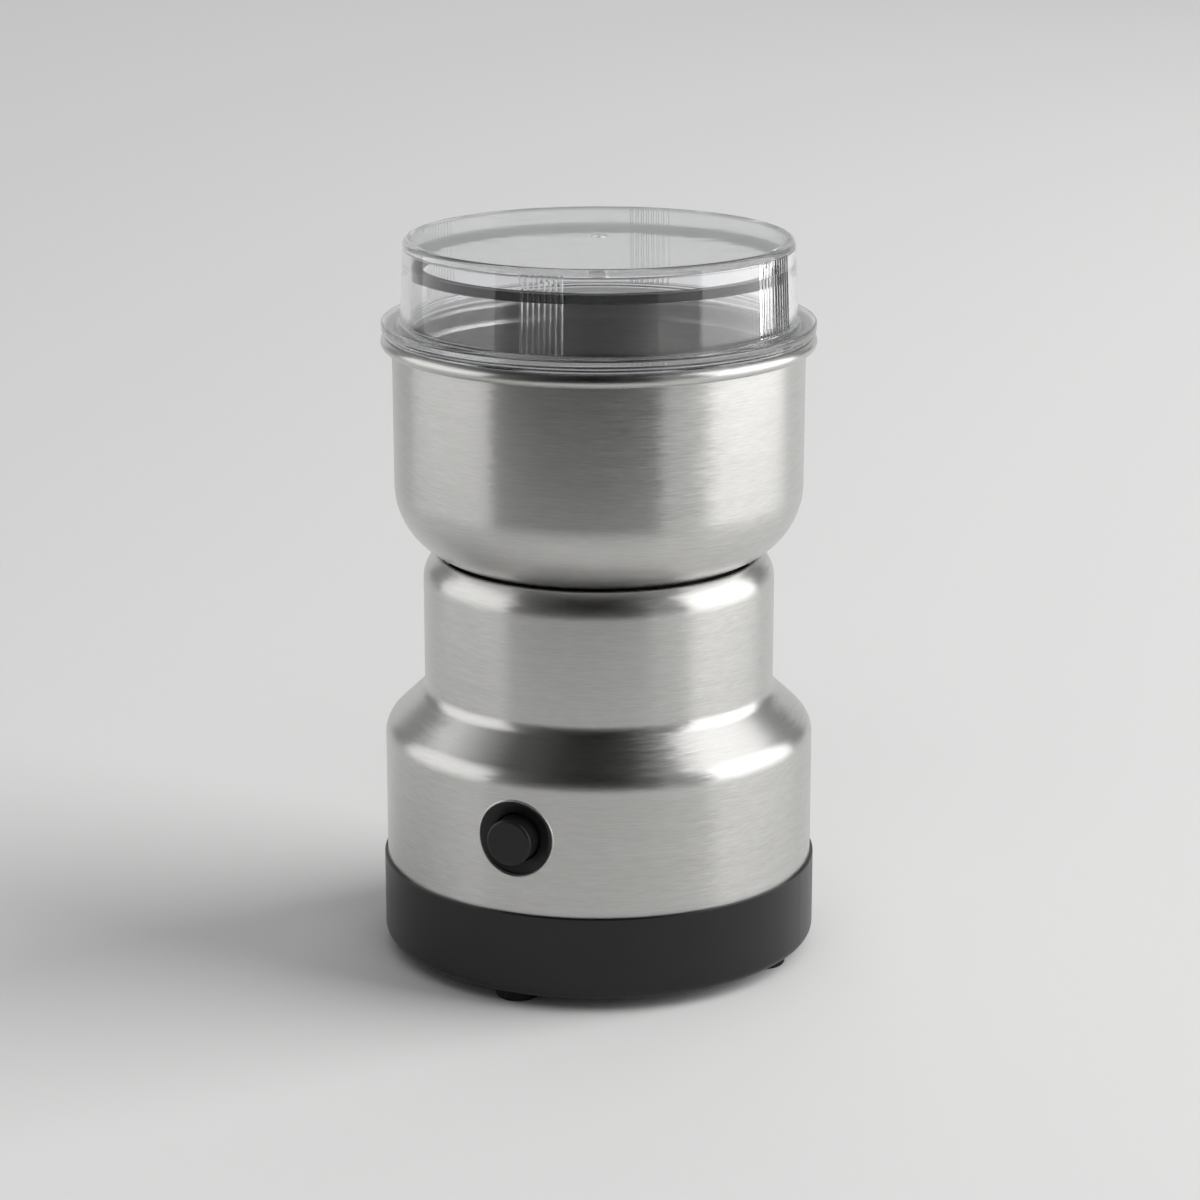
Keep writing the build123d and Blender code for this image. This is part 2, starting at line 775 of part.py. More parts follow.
def switch_bracket():
    """Upright plate behind the bezel with a foot on the pan and a shelf for the switch."""
    back = bracket_back
    foot_bottom = base_inside + pan_pad_height
    shelf_top = button_level - switch_thickness / 2
    half = bracket_half_width
    plate = block(-half, half, sleeve_back, back, foot_bottom, button_level + bracket_above_button)
    foot = block(-half, half, back, bracket_foot_end, foot_bottom, foot_bottom + bracket_thickness)
    shelf_bottom = shelf_top - bracket_thickness
    shelf = block(-half, half, back, back + switch_depth, shelf_bottom, shelf_top)
    gusset_face = outline((back, shelf_bottom), (back + switch_depth, shelf_bottom),
                          (back, shelf_bottom - switch_depth))
    gusset = extrude(Plane.YZ * gusset_face, bracket_thickness / 2, both=True)
    bracket = plate + foot + shelf + gusset
    bracket -= lying(plunger_hole_radius, sleeve_back, back, button_level)
    for place in bracket_screw_places():
        bracket -= rod(screw_radius + hole_gap, foot_bottom, foot_bottom + bracket_thickness, place)
    for place in switch_screw_places():
        bracket -= rod(switch_screw_radius, shelf_bottom, shelf_top, place)
    return bracket


def bracket_screws():
    """Screws through the bracket's foot into the pads of the pan."""
    foot_top = base_inside + pan_pad_height + bracket_thickness
    form = Pos(0, 0, foot_top) * screw(foot_top - base_inside)
    return Compound(children=[place * form for place in bracket_screw_places()])


def switch_body():
    """Case of the snap switch, with the bore for its plunger and two mounting holes."""
    front, end = bracket_back, bracket_back + switch_depth
    bottom, top = button_level - switch_thickness / 2, button_level + switch_thickness / 2
    case = block(-switch_width / 2, switch_width / 2, front, end, bottom, top)
    case = fillet(case.edges().filter_by(Axis.Z), switch_round)
    bore_end = plunger_front + plunger_length + button_travel + end_gap
    case -= lying(plunger_radius + plunger_gap, front, bore_end, button_level)
    for place in switch_screw_places():
        case -= rod(switch_screw_radius, bottom, top, place)
    half = tab_thickness / 2
    tab = block(-half, half, end, end + tab_length, bottom + tab_edge, top - tab_edge)
    case += [Pos(x, 0, 0) * tab for x in (-tab_spread, 0, tab_spread)]
    return case


def switch_screws():
    """Small screws through the switch into the shelf."""
    top = button_level + switch_thickness / 2
    length = switch_thickness + bracket_thickness
    form = screw(length, switch_screw_radius, small_head_radius, small_head_height)
    return Compound(children=[place * Pos(0, 0, top) * form for place in switch_screw_places()])


def switch_plunger():
    """Plunger that the button's stem pushes into the switch."""
    return turned_facing_front(outline(
        (0, plunger_front), (plunger_radius, plunger_front, plunger_radius / 3),
        (plunger_radius, plunger_front + plunger_length), (0, plunger_front + plunger_length)), button_level)


# Motor frame

def bush(bottom):
    """Sintered bush with rounded rims."""
    top = bottom + bush_length
    return turned(outline(
        (shaft_radius + shaft_gap, bottom), (bush_radius, bottom, bush_rim), (bush_radius, top, bush_rim),
        (shaft_radius + shaft_gap, top)))


def lower_bracket():
    """Cast spider under the motor: hub, ventilated plate, four arms, posts and brush seats."""
    plate = rod(lower_plate_radius, lower_plate_bottom, lower_plate_top)
    vent_circle = (lower_hub_radius + lower_plate_radius) / 2
    vent_radius = (lower_plate_radius - lower_hub_radius) / 4
    plate -= [rod(vent_radius, lower_plate_bottom, lower_plate_top, out(turn, vent_circle))
              for step in (-lower_vent_angle, lower_vent_angle) for turn in around(2, step)]
    half = lower_arm_width / 2
    arm = block(-half, half, -base_screw_circle, -lower_hub_radius / 2, lower_plate_bottom, lower_plate_top)
    bracket = plate + [turn * arm for turn in around(base_screw_count, base_screw_angle)]
    bracket += rod(lower_hub_radius, lower_hub_bottom, lower_bush_top)
    bracket += [rod(lower_post_radius, pan_post_top, lower_plate_top, place) for place in base_screw_places()]
    bracket += [rod(motor_post_radius, lower_plate_bottom, stack_bottom, place)
                for place in motor_screw_places()]
    seat_half = brush_half_width + holder_wall
    seat_top = brush_level - seat_half - brush_slack
    seat = block(holder_start + brush_seat_inset, holder_end - brush_seat_inset, -seat_half, seat_half,
                 lower_plate_bottom, seat_top)
    bracket += [turn * seat for turn in around(2)]
    bracket -= turned(outline((0, lower_hub_bottom), (bush_radius, lower_hub_bottom, bush_rim),
                              (bush_radius, lower_bush_top, bush_rim), (0, lower_bush_top)))
    bracket -= rod(shaft_radius + lower_hub_bore_gap, lower_hub_bottom, lower_bush_top)
    for place in base_screw_places():
        bracket -= rod(screw_radius, pan_post_top, lower_plate_bottom, place)
    for place in motor_screw_places():
        bracket -= rod(motor_screw_radius, lower_plate_bottom, stack_bottom, place)
        bracket -= rod(screw_head_radius + hole_gap, lower_hub_bottom, lower_plate_bottom, place)
    return bracket


def upper_bracket():
    """Cast disc under the bowl plate, with the upper bush in its boss and posts to the stator."""
    disc_radius = shoulder_corners()[1][0] - upper_disc_edge_gap
    bracket = rod(disc_radius, upper_disc_bottom, plate_bottom)
    bracket += rod(upper_boss_radius, upper_disc_bottom, rise_bottom)
    bracket += rod(bush_radius + bush_wall, upper_bush_bottom, plate_bottom)
    bracket += [rod(motor_post_radius, stack_top, plate_bottom, place) for place in motor_screw_places()]
    boss_bottom = upper_disc_bottom - screw_boss_length
    bracket += [rod(screw_boss_radius, boss_bottom, plate_bottom, place) for place in bowl_screw_places()]
    bracket -= turned(outline((0, upper_bush_bottom), (bush_radius, upper_bush_bottom, bush_rim),
                              (bush_radius, upper_bush_top), (0, upper_bush_top)))
    bracket -= rod(shaft_radius + hole_gap, upper_disc_bottom, rise_bottom)
    bracket -= rod(seal_flange_radius, upper_bush_top, rise_bottom)
    for place in bowl_screw_places():
        bracket -= rod(screw_radius, upper_disc_bottom - screw_boss_length / 2, plate_bottom, place)
    for place in motor_screw_places():
        bracket -= rod(motor_screw_radius, stack_top, plate_bottom - motor_screw_cover, place)
    return bracket


def motor_screws():
    """Long screws that clamp the stator between the two brackets."""
    length = plate_bottom - motor_screw_cover - lower_plate_bottom
    upward = Pos(0, 0, lower_plate_bottom) * Rot(180, 0, 0) * screw(length, motor_screw_radius)
    return Compound(children=[place * upward for place in motor_screw_places()])


# Stator and brushes

def stator_core():
    """Laminated stack with two poles, windows for the field coils and four bolt holes."""
    sheet_form = RectangleRounded(2 * stator_half_x, 2 * stator_half_y, stator_round)
    sheet_form -= Circle(armature_radius + air_gap)
    window = Rectangle(2 * coil_window_reach, coil_window_top - pole_half_width)
    middle = (coil_window_top + pole_half_width) / 2
    sheet_form -= Pos(0, middle) * window + Pos(0, -middle) * window
    for place in motor_screw_places():
        sheet_form -= place * Circle(motor_screw_radius + hole_gap)
    return Pos(0, 0, stack_bottom) * extrude(sheet_form, stack_height)


def field_coils():
    """The two field coils, each wound round one pole and rounded at its end turns."""
    inner_half = pole_half_width
    inner_height = stack_height / 2
    outer_half = inner_half + coil_side
    outer_height = inner_height + coil_side
    loop = RectangleRounded(2 * outer_half, 2 * outer_height, coil_side)
    loop -= Rectangle(2 * inner_half, 2 * inner_height)
    coil = Plane.YZ * loop
    coil = extrude(coil, coil_depth)
    placed = Pos(coil_window_reach - coil_gap - coil_depth, 0, (stack_bottom + stack_top) / 2) * coil
    return Compound(children=[turn * placed for turn in around(2)])


def brush_holders():
    """Brass boxes that guide the brushes, closed at their outer ends."""
    half = brush_half_width + brush_slack
    wall = half + holder_wall
    box = block(holder_start, holder_end, -wall, wall, brush_level - wall, brush_level + wall)
    box -= block(holder_start, holder_end - holder_wall, -half, half, brush_level - half, brush_level + half)
    return Compound(children=[turn * box for turn in around(2)])


def carbon_brushes():
    """Carbon blocks hollowed to the commutator."""
    half = brush_half_width
    brush = block(0, brush_start + brush_length, -half, half, brush_level - half, brush_level + half)
    brush -= rod(brush_start, commutator_bottom, commutator_top)
    return Compound(children=[turn * brush for turn in around(2)])


def brush_springs():
    """Springs that press the brushes inwards."""
    start = brush_start + brush_length
    length = holder_end - holder_wall - start
    spring = coil_spring(brush_spring_radius, brush_spring_wire, length, brush_spring_turns)
    placed = Pos(start, 0, brush_level) * Rot(0, 90, 0) * spring
    return Compound(children=[turn * placed for turn in around(2)])


# Rotor

def motor_shaft():
    """Ground shaft, thicker through the armature and chamfered at its ends."""
    shoulder_low = commutator_bottom - shaft_shoulder_gap
    shoulder_high = winding_top + shaft_shoulder_gap
    end = shaft_chamfer
    low = fan_bottom - shaft_tail
    return turned(outline(
        (0, low), (shaft_radius - end, low), (shaft_radius, low + end),
        (shaft_radius, shoulder_low), (armature_shaft_radius, shoulder_low),
        (armature_shaft_radius, shoulder_high), (shaft_radius, shoulder_high),
        (shaft_radius, shaft_top - end), (shaft_radius - end, shaft_top), (0, shaft_top)))


def armature_core():
    """Laminated armature with its ring of slots."""
    lamination = Circle(armature_radius) - Circle(armature_shaft_radius)
    mouth_length = armature_radius - armature_slot_circle + cut_margin
    mouth = Rectangle(armature_slot_mouth, mouth_length, align=(Align.CENTER, Align.MIN))
    slot = Pos(0, armature_slot_circle) * (Circle(armature_slot_radius) + mouth)
    lamination -= [turn * slot for turn in around(armature_slot_count)]
    return Pos(0, 0, stack_bottom) * extrude(lamination, stack_height)


def armature_winding():
    """Copper winding: bars in the slots joined by the rounded end turns."""
    overhang_round = winding_overhang / 3
    end_turn = turned(outline(
        (armature_shaft_radius, stack_top), (winding_outer_radius, stack_top),
        (winding_outer_radius, winding_top, overhang_round),
        (winding_inner_radius, winding_top, overhang_round),
        (armature_shaft_radius, stack_top + winding_overhang / 2)))
    winding = end_turn + Pos(0, 0, stack_bottom + stack_top) * Rot(180, 0, 0) * end_turn
    bars = [rod(winding_bar_radius, stack_bottom - winding_overhang / 2, stack_top + winding_overhang / 2,
                out(turn, armature_slot_circle)) for turn in around(armature_slot_count)]
    return winding + bars


def commutator():
    """Copper commutator cut into bars, with a riser towards the winding."""
    top = commutator_top
    riser_bottom = top - riser_height
    form = turned(outline(
        (armature_shaft_radius, commutator_bottom), (commutator_radius, commutator_bottom),
        (commutator_radius, riser_bottom), (riser_radius, riser_bottom), (riser_radius, top),
        (armature_shaft_radius, top)))
    groove = block(-commutator_groove / 2, commutator_groove / 2, -riser_radius - cut_margin,
                   -commutator_radius + 2 * commutator_groove, commutator_bottom, top)
    return form - [turn * groove for turn in around(commutator_bar_count)]


def cooling_fan():
    """Backward curved fan on the foot of the shaft."""
    blade_top = fan_bottom + fan_blade_height
    fan = rod(fan_radius, blade_top, fan_top) + rod(fan_hub_radius, fan_bottom, fan_top)
    half = fan_blade_thickness / 2
    curve = Circle(fan_blade_curve + half) - Circle(fan_blade_curve - half)
    ring = Circle(fan_radius - half) - Circle(fan_hub_radius - half)
    side = Rectangle(2 * fan_radius, fan_radius, align=(Align.CENTER, Align.MIN))
    blade = Pos(0, 0, fan_bottom) * extrude((Pos(fan_blade_curve, 0) * curve) & ring & side, fan_blade_height)
    fan += [turn * blade for turn in around(fan_blade_count)]
    return fan - rod(shaft_radius, fan_bottom, fan_top)


# Blades and what holds them

def shaft_seal():
    """Lipped seal that closes the centre of the bowl round the shaft."""
    return turned(outline(
        (shaft_radius + shaft_gap, upper_bush_top), (seal_flange_radius, upper_bush_top),
        (seal_flange_radius, rise_bottom), (seal_radius, rise_bottom), (seal_radius, rise_top),
        (seal_flange_radius, rise_top), (seal_flange_radius, seal_top, seal_flange_height / 2),
        (shaft_radius + shaft_gap, seal_top)))


def blade_collar():
    """Steel collar that carries the blades above the seal."""
    return tube(blade_collar_radius, shaft_radius, blade_collar_bottom, lower_blade_bottom)


def bevel_cutter(hub, end, length):
    """Wedge above the leading edge of a wing that lies along X with its bend at the origin."""
    slope = (blade_steel - blade_edge) / blade_bevel_width
    top = blade_steel + cut_margin
    back = blade_bevel_width + cut_margin
    wedge_section = outline((cut_margin, blade_edge - slope * cut_margin), (cut_margin, top), (-back, top),
                            (-back, blade_steel + slope * cut_margin))
    wedge = Pos(-cut_margin, 0, 0) * extrude(Plane.YZ * wedge_section, length + 2 * cut_margin)
    lean = degrees(atan2(hub - end, length))
    return Pos(0, hub, 0) * Rot(0, 0, -lean) * wedge


def blade(bend, bottom):
    """Two-winged stamped blade along X: wings bent, tapered and ground to an edge on the leading side."""
    tilt = radians(bend)
    reach = blade_reach
    run = (reach - blade_bend_start) * cos(tilt)
    rise = (reach - blade_bend_start) * sin(tilt)
    side = [(-blade_bend_start - run, rise), (-blade_bend_start, 0), (blade_bend_start, 0),
            (blade_bend_start + run, rise)]
    strip_section = sheet(side, [blade_bend_round, blade_bend_round], blade_steel)
    strip = extrude(Plane.XZ * strip_section, blade_hub_width, both=True)
    tip = blade_bend_start + run + blade_steel
    hub, end = blade_hub_width / 2, blade_tip_width / 2
    start, tip_round = blade_bend_start, blade_tip_round
    plan = outline((start, hub), (tip, end, tip_round), (tip, -end, tip_round), (start, -hub),
                   (-start, -hub), (-tip, -end, tip_round), (-tip, end, tip_round), (-start, hub))
    form = strip & (Pos(0, 0, -reach) * extrude(plan, 2 * reach))
    wing_bevel = Pos(start, 0, 0) * Rot(0, -bend, 0) * bevel_cutter(hub, end, tip - start)
    form -= [turn * wing_bevel for turn in around(2)]
    return Pos(0, 0, bottom) * form - rod(shaft_radius, bottom, bottom + blade_steel)


def upper_blade():
    """Blade with raised wings."""
    return blade(upper_blade_angle, upper_blade_bottom)


def lower_blade():
    """Blade with lowered wings, square to the upper one."""
    return Rot(0, 0, 90) * blade(lower_blade_angle, lower_blade_bottom)


def blade_washer():
    """Washer under the nut."""
    return tube(washer_radius, shaft_radius, washer_bottom, nut_bottom)


def blade_nut():
    """Domed hexagon nut that closes the end of the shaft."""
    hexagon = RegularPolygon(nut_across_flats / 2, 6, major_radius=False)
    prism = Pos(0, 0, nut_bottom) * extrude(hexagon, nut_height)
    dome_foot = nut_bottom + nut_height
    dome_radius = nut_across_flats / 2 - nut_dome_step
    dome = turned(outline((0, dome_foot), (dome_radius, dome_foot), (dome_radius, nut_top, nut_dome_round),
                          (0, nut_top)))
    return prism + dome - rod(shaft_radius, nut_bottom, shaft_top)


# Wiring

def terminal_block():
    """Two-pole block on the floor of the pan, with wire entries and screw wells."""
    half = block_width / 2
    low, high = base_inside, base_inside + block_height
    form = block(-half, half, block_distance - block_depth / 2, block_distance + block_depth / 2, low, high)
    form = fillet(form.edges().filter_by(Axis.Z), block_round)
    wire_level = low + block_height / 3
    wire = lying(block_wire_radius, block_distance - block_depth, block_distance + block_depth, wire_level)
    for side in (-1, 1):
        pole = Pos(side * block_pole_spread, 0, 0)
        form -= pole * wire
        form -= rod(block_screw_radius, wire_level, high, pole * Pos(0, block_distance, 0))
    return form


def terminal_screws():
    """Clamping screws in the wells of the terminal block."""
    low = base_inside + block_height / 3 + block_screw_tip
    high = base_inside + block_height - block_screw_sink
    screws = [rod(block_screw_radius, low, high, Pos(side * block_pole_spread, block_distance, 0))
              for side in (-1, 1)]
    return Compound(children=screws)


PARTS = {
    "base_pan": base_pan, "rubber_feet": rubber_feet, "base_screws": base_screws,
    "cord_grommet": cord_grommet,
    "body_shell": body_shell, "bowl": bowl, "bowl_gasket": bowl_gasket, "bowl_screws": bowl_screws,
    "lid_shell": lid_shell, "lid_ring": lid_ring,
    "button_bezel": button_bezel, "push_button": push_button, "button_spring": button_spring,
    "switch_bracket": switch_bracket, "bracket_screws": bracket_screws, "switch_body": switch_body,
    "switch_screws": switch_screws, "switch_plunger": switch_plunger,
    "lower_bracket": lower_bracket, "upper_bracket": upper_bracket, "motor_screws": motor_screws,
    "lower_bearing": lambda: bush(lower_hub_bottom), "upper_bearing": lambda: bush(upper_bush_bottom),
    "stator_core": stator_core, "field_coils": field_coils, "brush_holders": brush_holders,
    "carbon_brushes": carbon_brushes, "brush_springs": brush_springs,
    "motor_shaft": motor_shaft, "armature_core": armature_core, "armature_winding": armature_winding,
    "commutator": commutator, "cooling_fan": cooling_fan,
    "shaft_seal": shaft_seal, "blade_collar": blade_collar, "lower_blade": lower_blade,
    "upper_blade": upper_blade, "blade_washer": blade_washer, "blade_nut": blade_nut,
    "terminal_block": terminal_block, "terminal_screws": terminal_screws,
}

os.makedirs("parts", exist_ok=True)
for name, make in PARTS.items():
    export_step(make(), f"parts/{name}.step")
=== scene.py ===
"""Dresses the electric grinder: brushed steel housing and bowl, clear ribbed lid, black base, motor and blades.

Sizes in the classes are in millimetres and are turned to metres where a mesh is made. Angles round the upright
axis start at the button's side (-Y) and grow towards +X.
"""

import logging
from dataclasses import dataclass
from enum import Enum
from math import cos, degrees, pi, radians, sin, tan
from typing import Callable, Sequence

import bmesh
import bpy
from bpy.types import Material, Mesh, Node, Object
from mathutils import Matrix, Vector


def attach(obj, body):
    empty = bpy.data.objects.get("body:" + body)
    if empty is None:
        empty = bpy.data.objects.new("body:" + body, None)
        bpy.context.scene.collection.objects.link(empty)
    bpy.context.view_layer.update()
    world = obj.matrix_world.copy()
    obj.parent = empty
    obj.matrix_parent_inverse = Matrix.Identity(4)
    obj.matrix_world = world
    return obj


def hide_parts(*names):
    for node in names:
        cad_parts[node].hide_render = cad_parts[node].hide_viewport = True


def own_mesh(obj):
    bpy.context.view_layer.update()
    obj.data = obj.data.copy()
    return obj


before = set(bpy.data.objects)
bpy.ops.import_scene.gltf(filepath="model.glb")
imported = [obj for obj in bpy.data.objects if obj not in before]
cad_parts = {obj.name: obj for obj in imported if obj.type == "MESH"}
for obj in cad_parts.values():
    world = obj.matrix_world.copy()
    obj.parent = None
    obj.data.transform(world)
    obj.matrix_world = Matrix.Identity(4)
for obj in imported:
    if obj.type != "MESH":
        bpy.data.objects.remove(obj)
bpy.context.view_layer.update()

log = logging.getLogger("grinder")

MILLIMETRE = 0.001
ARC_STEP = 3.0       # degrees between rows of a rounded corner
ROW_STEP = 2.0       # millimetres between rows of a straight
EDGE_ROW = 0.2       # millimetres from each end of a straight to its first row
TURN_STEPS = 256     # columns round a turned piece
HOLE_STEPS = 96      # columns round a hole
CREASE = 32.0        # degrees from which an edge stays sharp
TOUCH = 1e-6         # millimetres within which two points are one


# Materials


def linear(code: str) -> tuple[float, float, float, float]:
    """Turns an sRGB hex value to Blender's linear colour.

    Args:
        code: Six hex digits, such as "C8C6C2".

    Returns:
        Red, green, blue and alpha, linear.
    """
    parts = [int(code[at:at + 2], 16) / 255 for at in (0, 2, 4)]
    return (*(p / 12.92 if p <= 0.04045 else ((p + 0.055) / 1.055) ** 2.4 for p in parts), 1.0)


class Lay(Enum):
    """Direction in which a tool or a mould leaves its marks."""

    NONE = "none"
    ROUND = "round"
    ACROSS = "across"
    UP = "up"


class Recipe:
    """A material in the making: its nodes, its shader, and the piece's own coordinates in millimetres."""

    def __init__(self, name: str, shader: dict[str, float]) -> None:
        """Starts a material.

        Args:
            name: Name of the material.
            shader: Values that are the same all over, by the shader's socket names.
        """
        self.material = bpy.data.materials.new(name)
        self.material.use_nodes = True
        self.nodes = self.material.node_tree.nodes
        self.nodes.clear()
        self.shader = self.add("BsdfPrincipled", shader)
        self.add("OutputMaterial", {}, {"Surface": self.shader})
        own = self.add("TexCoord").outputs["Object"]
        self.place = self.add("VectorMath", {"operation": "SCALE", "Scale": 1 / MILLIMETRE}, {0: own})
        self.apart = self.add("SeparateXYZ", {}, {0: self.place})
        flat = self.add("VectorMath", {"operation": "MULTIPLY", 1: (1, 1, 0)}, {0: self.place})
        self.out = self.add("VectorMath", {"operation": "LENGTH"}, {0: flat}).outputs["Value"]

    def add(self, kind: str, settings: dict | None = None, links: dict | None = None) -> Node:
        """Adds a node with its settings and links.

        Args:
            kind: Blender's name for the node, without its ShaderNode.
            settings: Values by property name, socket name or socket number. The key "tones" fills a colour ramp.
            links: For each socket name or number, the node or output that feeds it.

        Returns:
            The new node.
        """
        node = self.nodes.new("ShaderNode" + kind)
        for key, value in (settings or {}).items():
            if key == "tones":
                ramp = node.color_ramp.elements
                for number, (at, code) in enumerate(value):
                    stop = ramp[number] if number < len(ramp) else ramp.new(at)
                    stop.position, stop.color = at, linear(code)
            elif isinstance(key, int) or key in node.inputs:
                node.inputs[key].default_value = value
            else:
                setattr(node, key, value)
        for key, source in (links or {}).items():
            output = source.outputs[0] if isinstance(source, Node) else source
            self.material.node_tree.links.new(output, node.inputs[key])
        return node

    def feed(self, socket: str, source: Node) -> None:
        """Feeds a socket of the shader from a node."""
        self.material.node_tree.links.new(source.outputs[0], self.shader.inputs[socket])

    def marks(self, fine: float, long: float | None = None, lay: Lay = Lay.NONE, slope: float = 1.0,
              detail: float = 3.0) -> Node:
        """Adds the streaks or grains that a process leaves.

        Args:
            fine: Width of a mark, in millimetres.
            long: Its length, which is its width where None.
            lay: Direction of the marks.
            slope: How the marks step outwards on a floor: 1 where a wall widens upwards, -1 where it narrows.
            detail: Octaves of the noise.

        Returns:
            A noise node whose value runs from 0 to 1.
        """
        long = long or fine
        sizes = {
            Lay.NONE: (fine, fine, fine),
            Lay.ROUND: (long, long, fine),
            Lay.ACROSS: (long, fine, fine),
            Lay.UP: (fine, fine, long),
        }[lay]
        place = self.place
        if lay is Lay.ROUND:
            rise = self.add("Math", {"operation": "MULTIPLY_ADD", 1: slope}, {0: self.out, 2: self.apart.outputs["Z"]})
            place = self.add("CombineXYZ", {}, {"X": self.apart.outputs["X"], "Y": self.apart.outputs["Y"], "Z": rise})
        scaled = self.add("VectorMath", {"operation": "MULTIPLY", 1: tuple(1 / s for s in sizes)}, {0: place})
        return self.add("TexNoise", {"Scale": 1.0, "Detail": detail, "Roughness": 0.6}, {"Vector": scaled})

    def blend(self, main: Node, other: Node, share: float) -> Node:
        """Blends two patterns.

        Args:
            main: Pattern that leads.
            other: Pattern that is mixed in.
            share: Share of the other pattern, 0 to 1.

        Returns:
            A node with the blended value.
        """
        part = self.add("Math", {"operation": "MULTIPLY", 1: share}, {0: other})
        return self.add("Math", {"operation": "MULTIPLY_ADD", 1: 1 - share}, {0: main, 2: part})

    def paint(self, pattern: Node, tones: Sequence[tuple[float, str]], rough: tuple[float, float],
              relief: float, relief_pattern: Node | None = None) -> Material:
        """Drives colour, roughness and relief from a pattern.

        Args:
            pattern: Pattern with values from 0 to 1.
            tones: Places on the pattern and the hex colours there.
            rough: Roughness at the pattern's low and high end.
            relief: Height of the relief, in millimetres.
            relief_pattern: Pattern of the relief, where it isn't the same one.

        Returns:
            The material.
        """
        colour = self.add("ValToRGB", {"tones": tones}, {0: pattern})
        gloss = self.add("MapRange",
                         {"From Min": 0.3, "From Max": 0.7, "To Min": rough[0], "To Max": rough[1]}, {0: pattern})
        bump = self.add("Bump", {"Strength": 1.0, "Distance": relief * MILLIMETRE},
                        {"Height": relief_pattern or pattern})
        for socket, source in (("Base Color", colour), ("Roughness", gloss), ("Normal", bump)):
            self.feed(socket, source)
        return self.material


@dataclass(frozen=True)
class BrushedSteel:
    """Drawn 18/8 stainless steel, brushed round while it turned: reflections stretch up and down over fine hairs.

    Attributes:
        name: Name of the material.
        slope: Side to which the hairs step on a floor, as in Recipe.marks.
        waver: How far the hairs lean sideways, which frays the ends of the reflections.
        dark: Colour between the hairs.
        light: Colour on the hairs.
    """

    name: str
    slope: float
    waver: float = 0.2
    dark: str = "C1C0BE"
    light: str = "CFCECC"

    def make(self) -> Material:
        """Builds the material.

        Returns:
            The material.
        """
        recipe = Recipe(self.name, {"Metallic": 1.0, "Anisotropic": 0.8, "Anisotropic Rotation": 0.25})
        # A 180 grit belt leaves lines near 0.08 mm apart, too fine to show, so the hairs are drawn 0.24 mm apart.
        hairs = recipe.marks(0.24, 4.0, Lay.ROUND, self.slope)
        passes = recipe.marks(1.4, 26.0, Lay.ROUND, self.slope, detail=2.0)
        tangent = recipe.add("Tangent", {"direction_type": "RADIAL", "axis": "Z"})
        recipe.feed("Tangent", tangent)
        both = recipe.blend(hairs, passes, 0.25)
        steel = recipe.paint(both, [(0.36, self.dark), (0.64, self.light)], (0.28, 0.33), 0.0015, hairs)
        lean = recipe.add("Math", {"operation": "MULTIPLY_ADD", 1: self.waver, 2: -self.waver / 2}, {0: both})
        aside = recipe.add("VectorMath", {"operation": "SCALE"}, {0: tangent, "Scale": lean})
        upright = recipe.shader.inputs["Normal"].links[0].from_socket
        leaning = recipe.add("VectorMath", {"operation": "ADD"}, {0: upright, 1: aside})
        recipe.feed("Normal", leaning)
        return steel


@dataclass(frozen=True)
class ClearPlastic:
    """Injection moulded acrylic, polished mould: clear with a cold tint and a faint ripple in its reflections."""

    name: str = "clear_acrylic_moulded"
    tint: tuple[str, str] = ("FBFBFD", "FEFEFF")

    def make(self) -> Material:
        """Builds the material.

        Returns:
            The material.
        """
        recipe = Recipe(self.name, {"IOR": 1.5, "Transmission Weight": 1.0})
        # The melt's flow leaves a ripple some 9 mm long; hairline scuffs from wiping are 0.3 mm wide.
        flow = recipe.marks(9.0, detail=1.0)
        scuffs = recipe.marks(0.3, 6.0, Lay.ACROSS)
        both = recipe.blend(flow, scuffs, 0.3)
        return recipe.paint(both, [(0.3, self.tint[0]), (0.7, self.tint[1])], (0.01, 0.05), 0.01, flow)


class Mould(Enum):
    """How the wall of a plastic part's mould was finished."""

    SATIN = "satin"
    SPARKED = "sparked"


@dataclass(frozen=True)
class MouldedPlastic:
    """Injection moulded thermoplastic: the mould's grain spreads the highlights.

    Attributes:
        name: Name of the material.
        dark: Colour in the grain's low spots.
        light: Colour on the grain.
        mould: Finish of the mould.
        ior: Index of refraction of the plastic.
        shine: Strength of its mirrored light; fillers and grain make it less than 0.5.
    """

    name: str
    dark: str
    light: str
    mould: Mould
    ior: float = 1.53
    shine: float = 0.3

    def make(self) -> Material:
        """Builds the material.

        Returns:
            The material.
        """
        # A sparked mould's grain is near 0.1 mm; it is drawn 0.35 mm wide so that it shows.
        grain, relief, rough = {
            Mould.SATIN: (0.4, 0.006, (0.32, 0.4)),
            Mould.SPARKED: (0.35, 0.012, (0.3, 0.38)),
        }[self.mould]
        recipe = Recipe(self.name, {"IOR": self.ior, "Specular IOR Level": self.shine})
        fine = recipe.marks(grain)
        flow = recipe.marks(14.0, detail=2.0)
        both = recipe.blend(fine, flow, 0.4)
        return recipe.paint(both, [(0.35, self.dark), (0.65, self.light)], rough, relief, fine)


@dataclass(frozen=True)
class MouldedRubber:
    """Compression moulded rubber: deep matt with a dusty bloom.

    Attributes:
        name: Name of the material.
        dark: Colour of the rubber.
        bloom: Colour of the bloom on it.
        rough: Roughness where clean and where bloomed.
    """

    name: str
    dark: str = "161616"
    bloom: str = "262625"
    rough: tuple[float, float] = (0.62, 0.82)

    def make(self) -> Material:
        """Builds the material.

        Returns:
            The material.
        """
        recipe = Recipe(self.name, {"IOR": 1.5, "Specular IOR Level": 0.2})
        cloud = recipe.marks(5.0, detail=5.0)
        grain = recipe.marks(0.3)
        return recipe.paint(cloud, [(0.42, self.dark), (0.66, self.bloom)], self.rough, 0.012, grain)


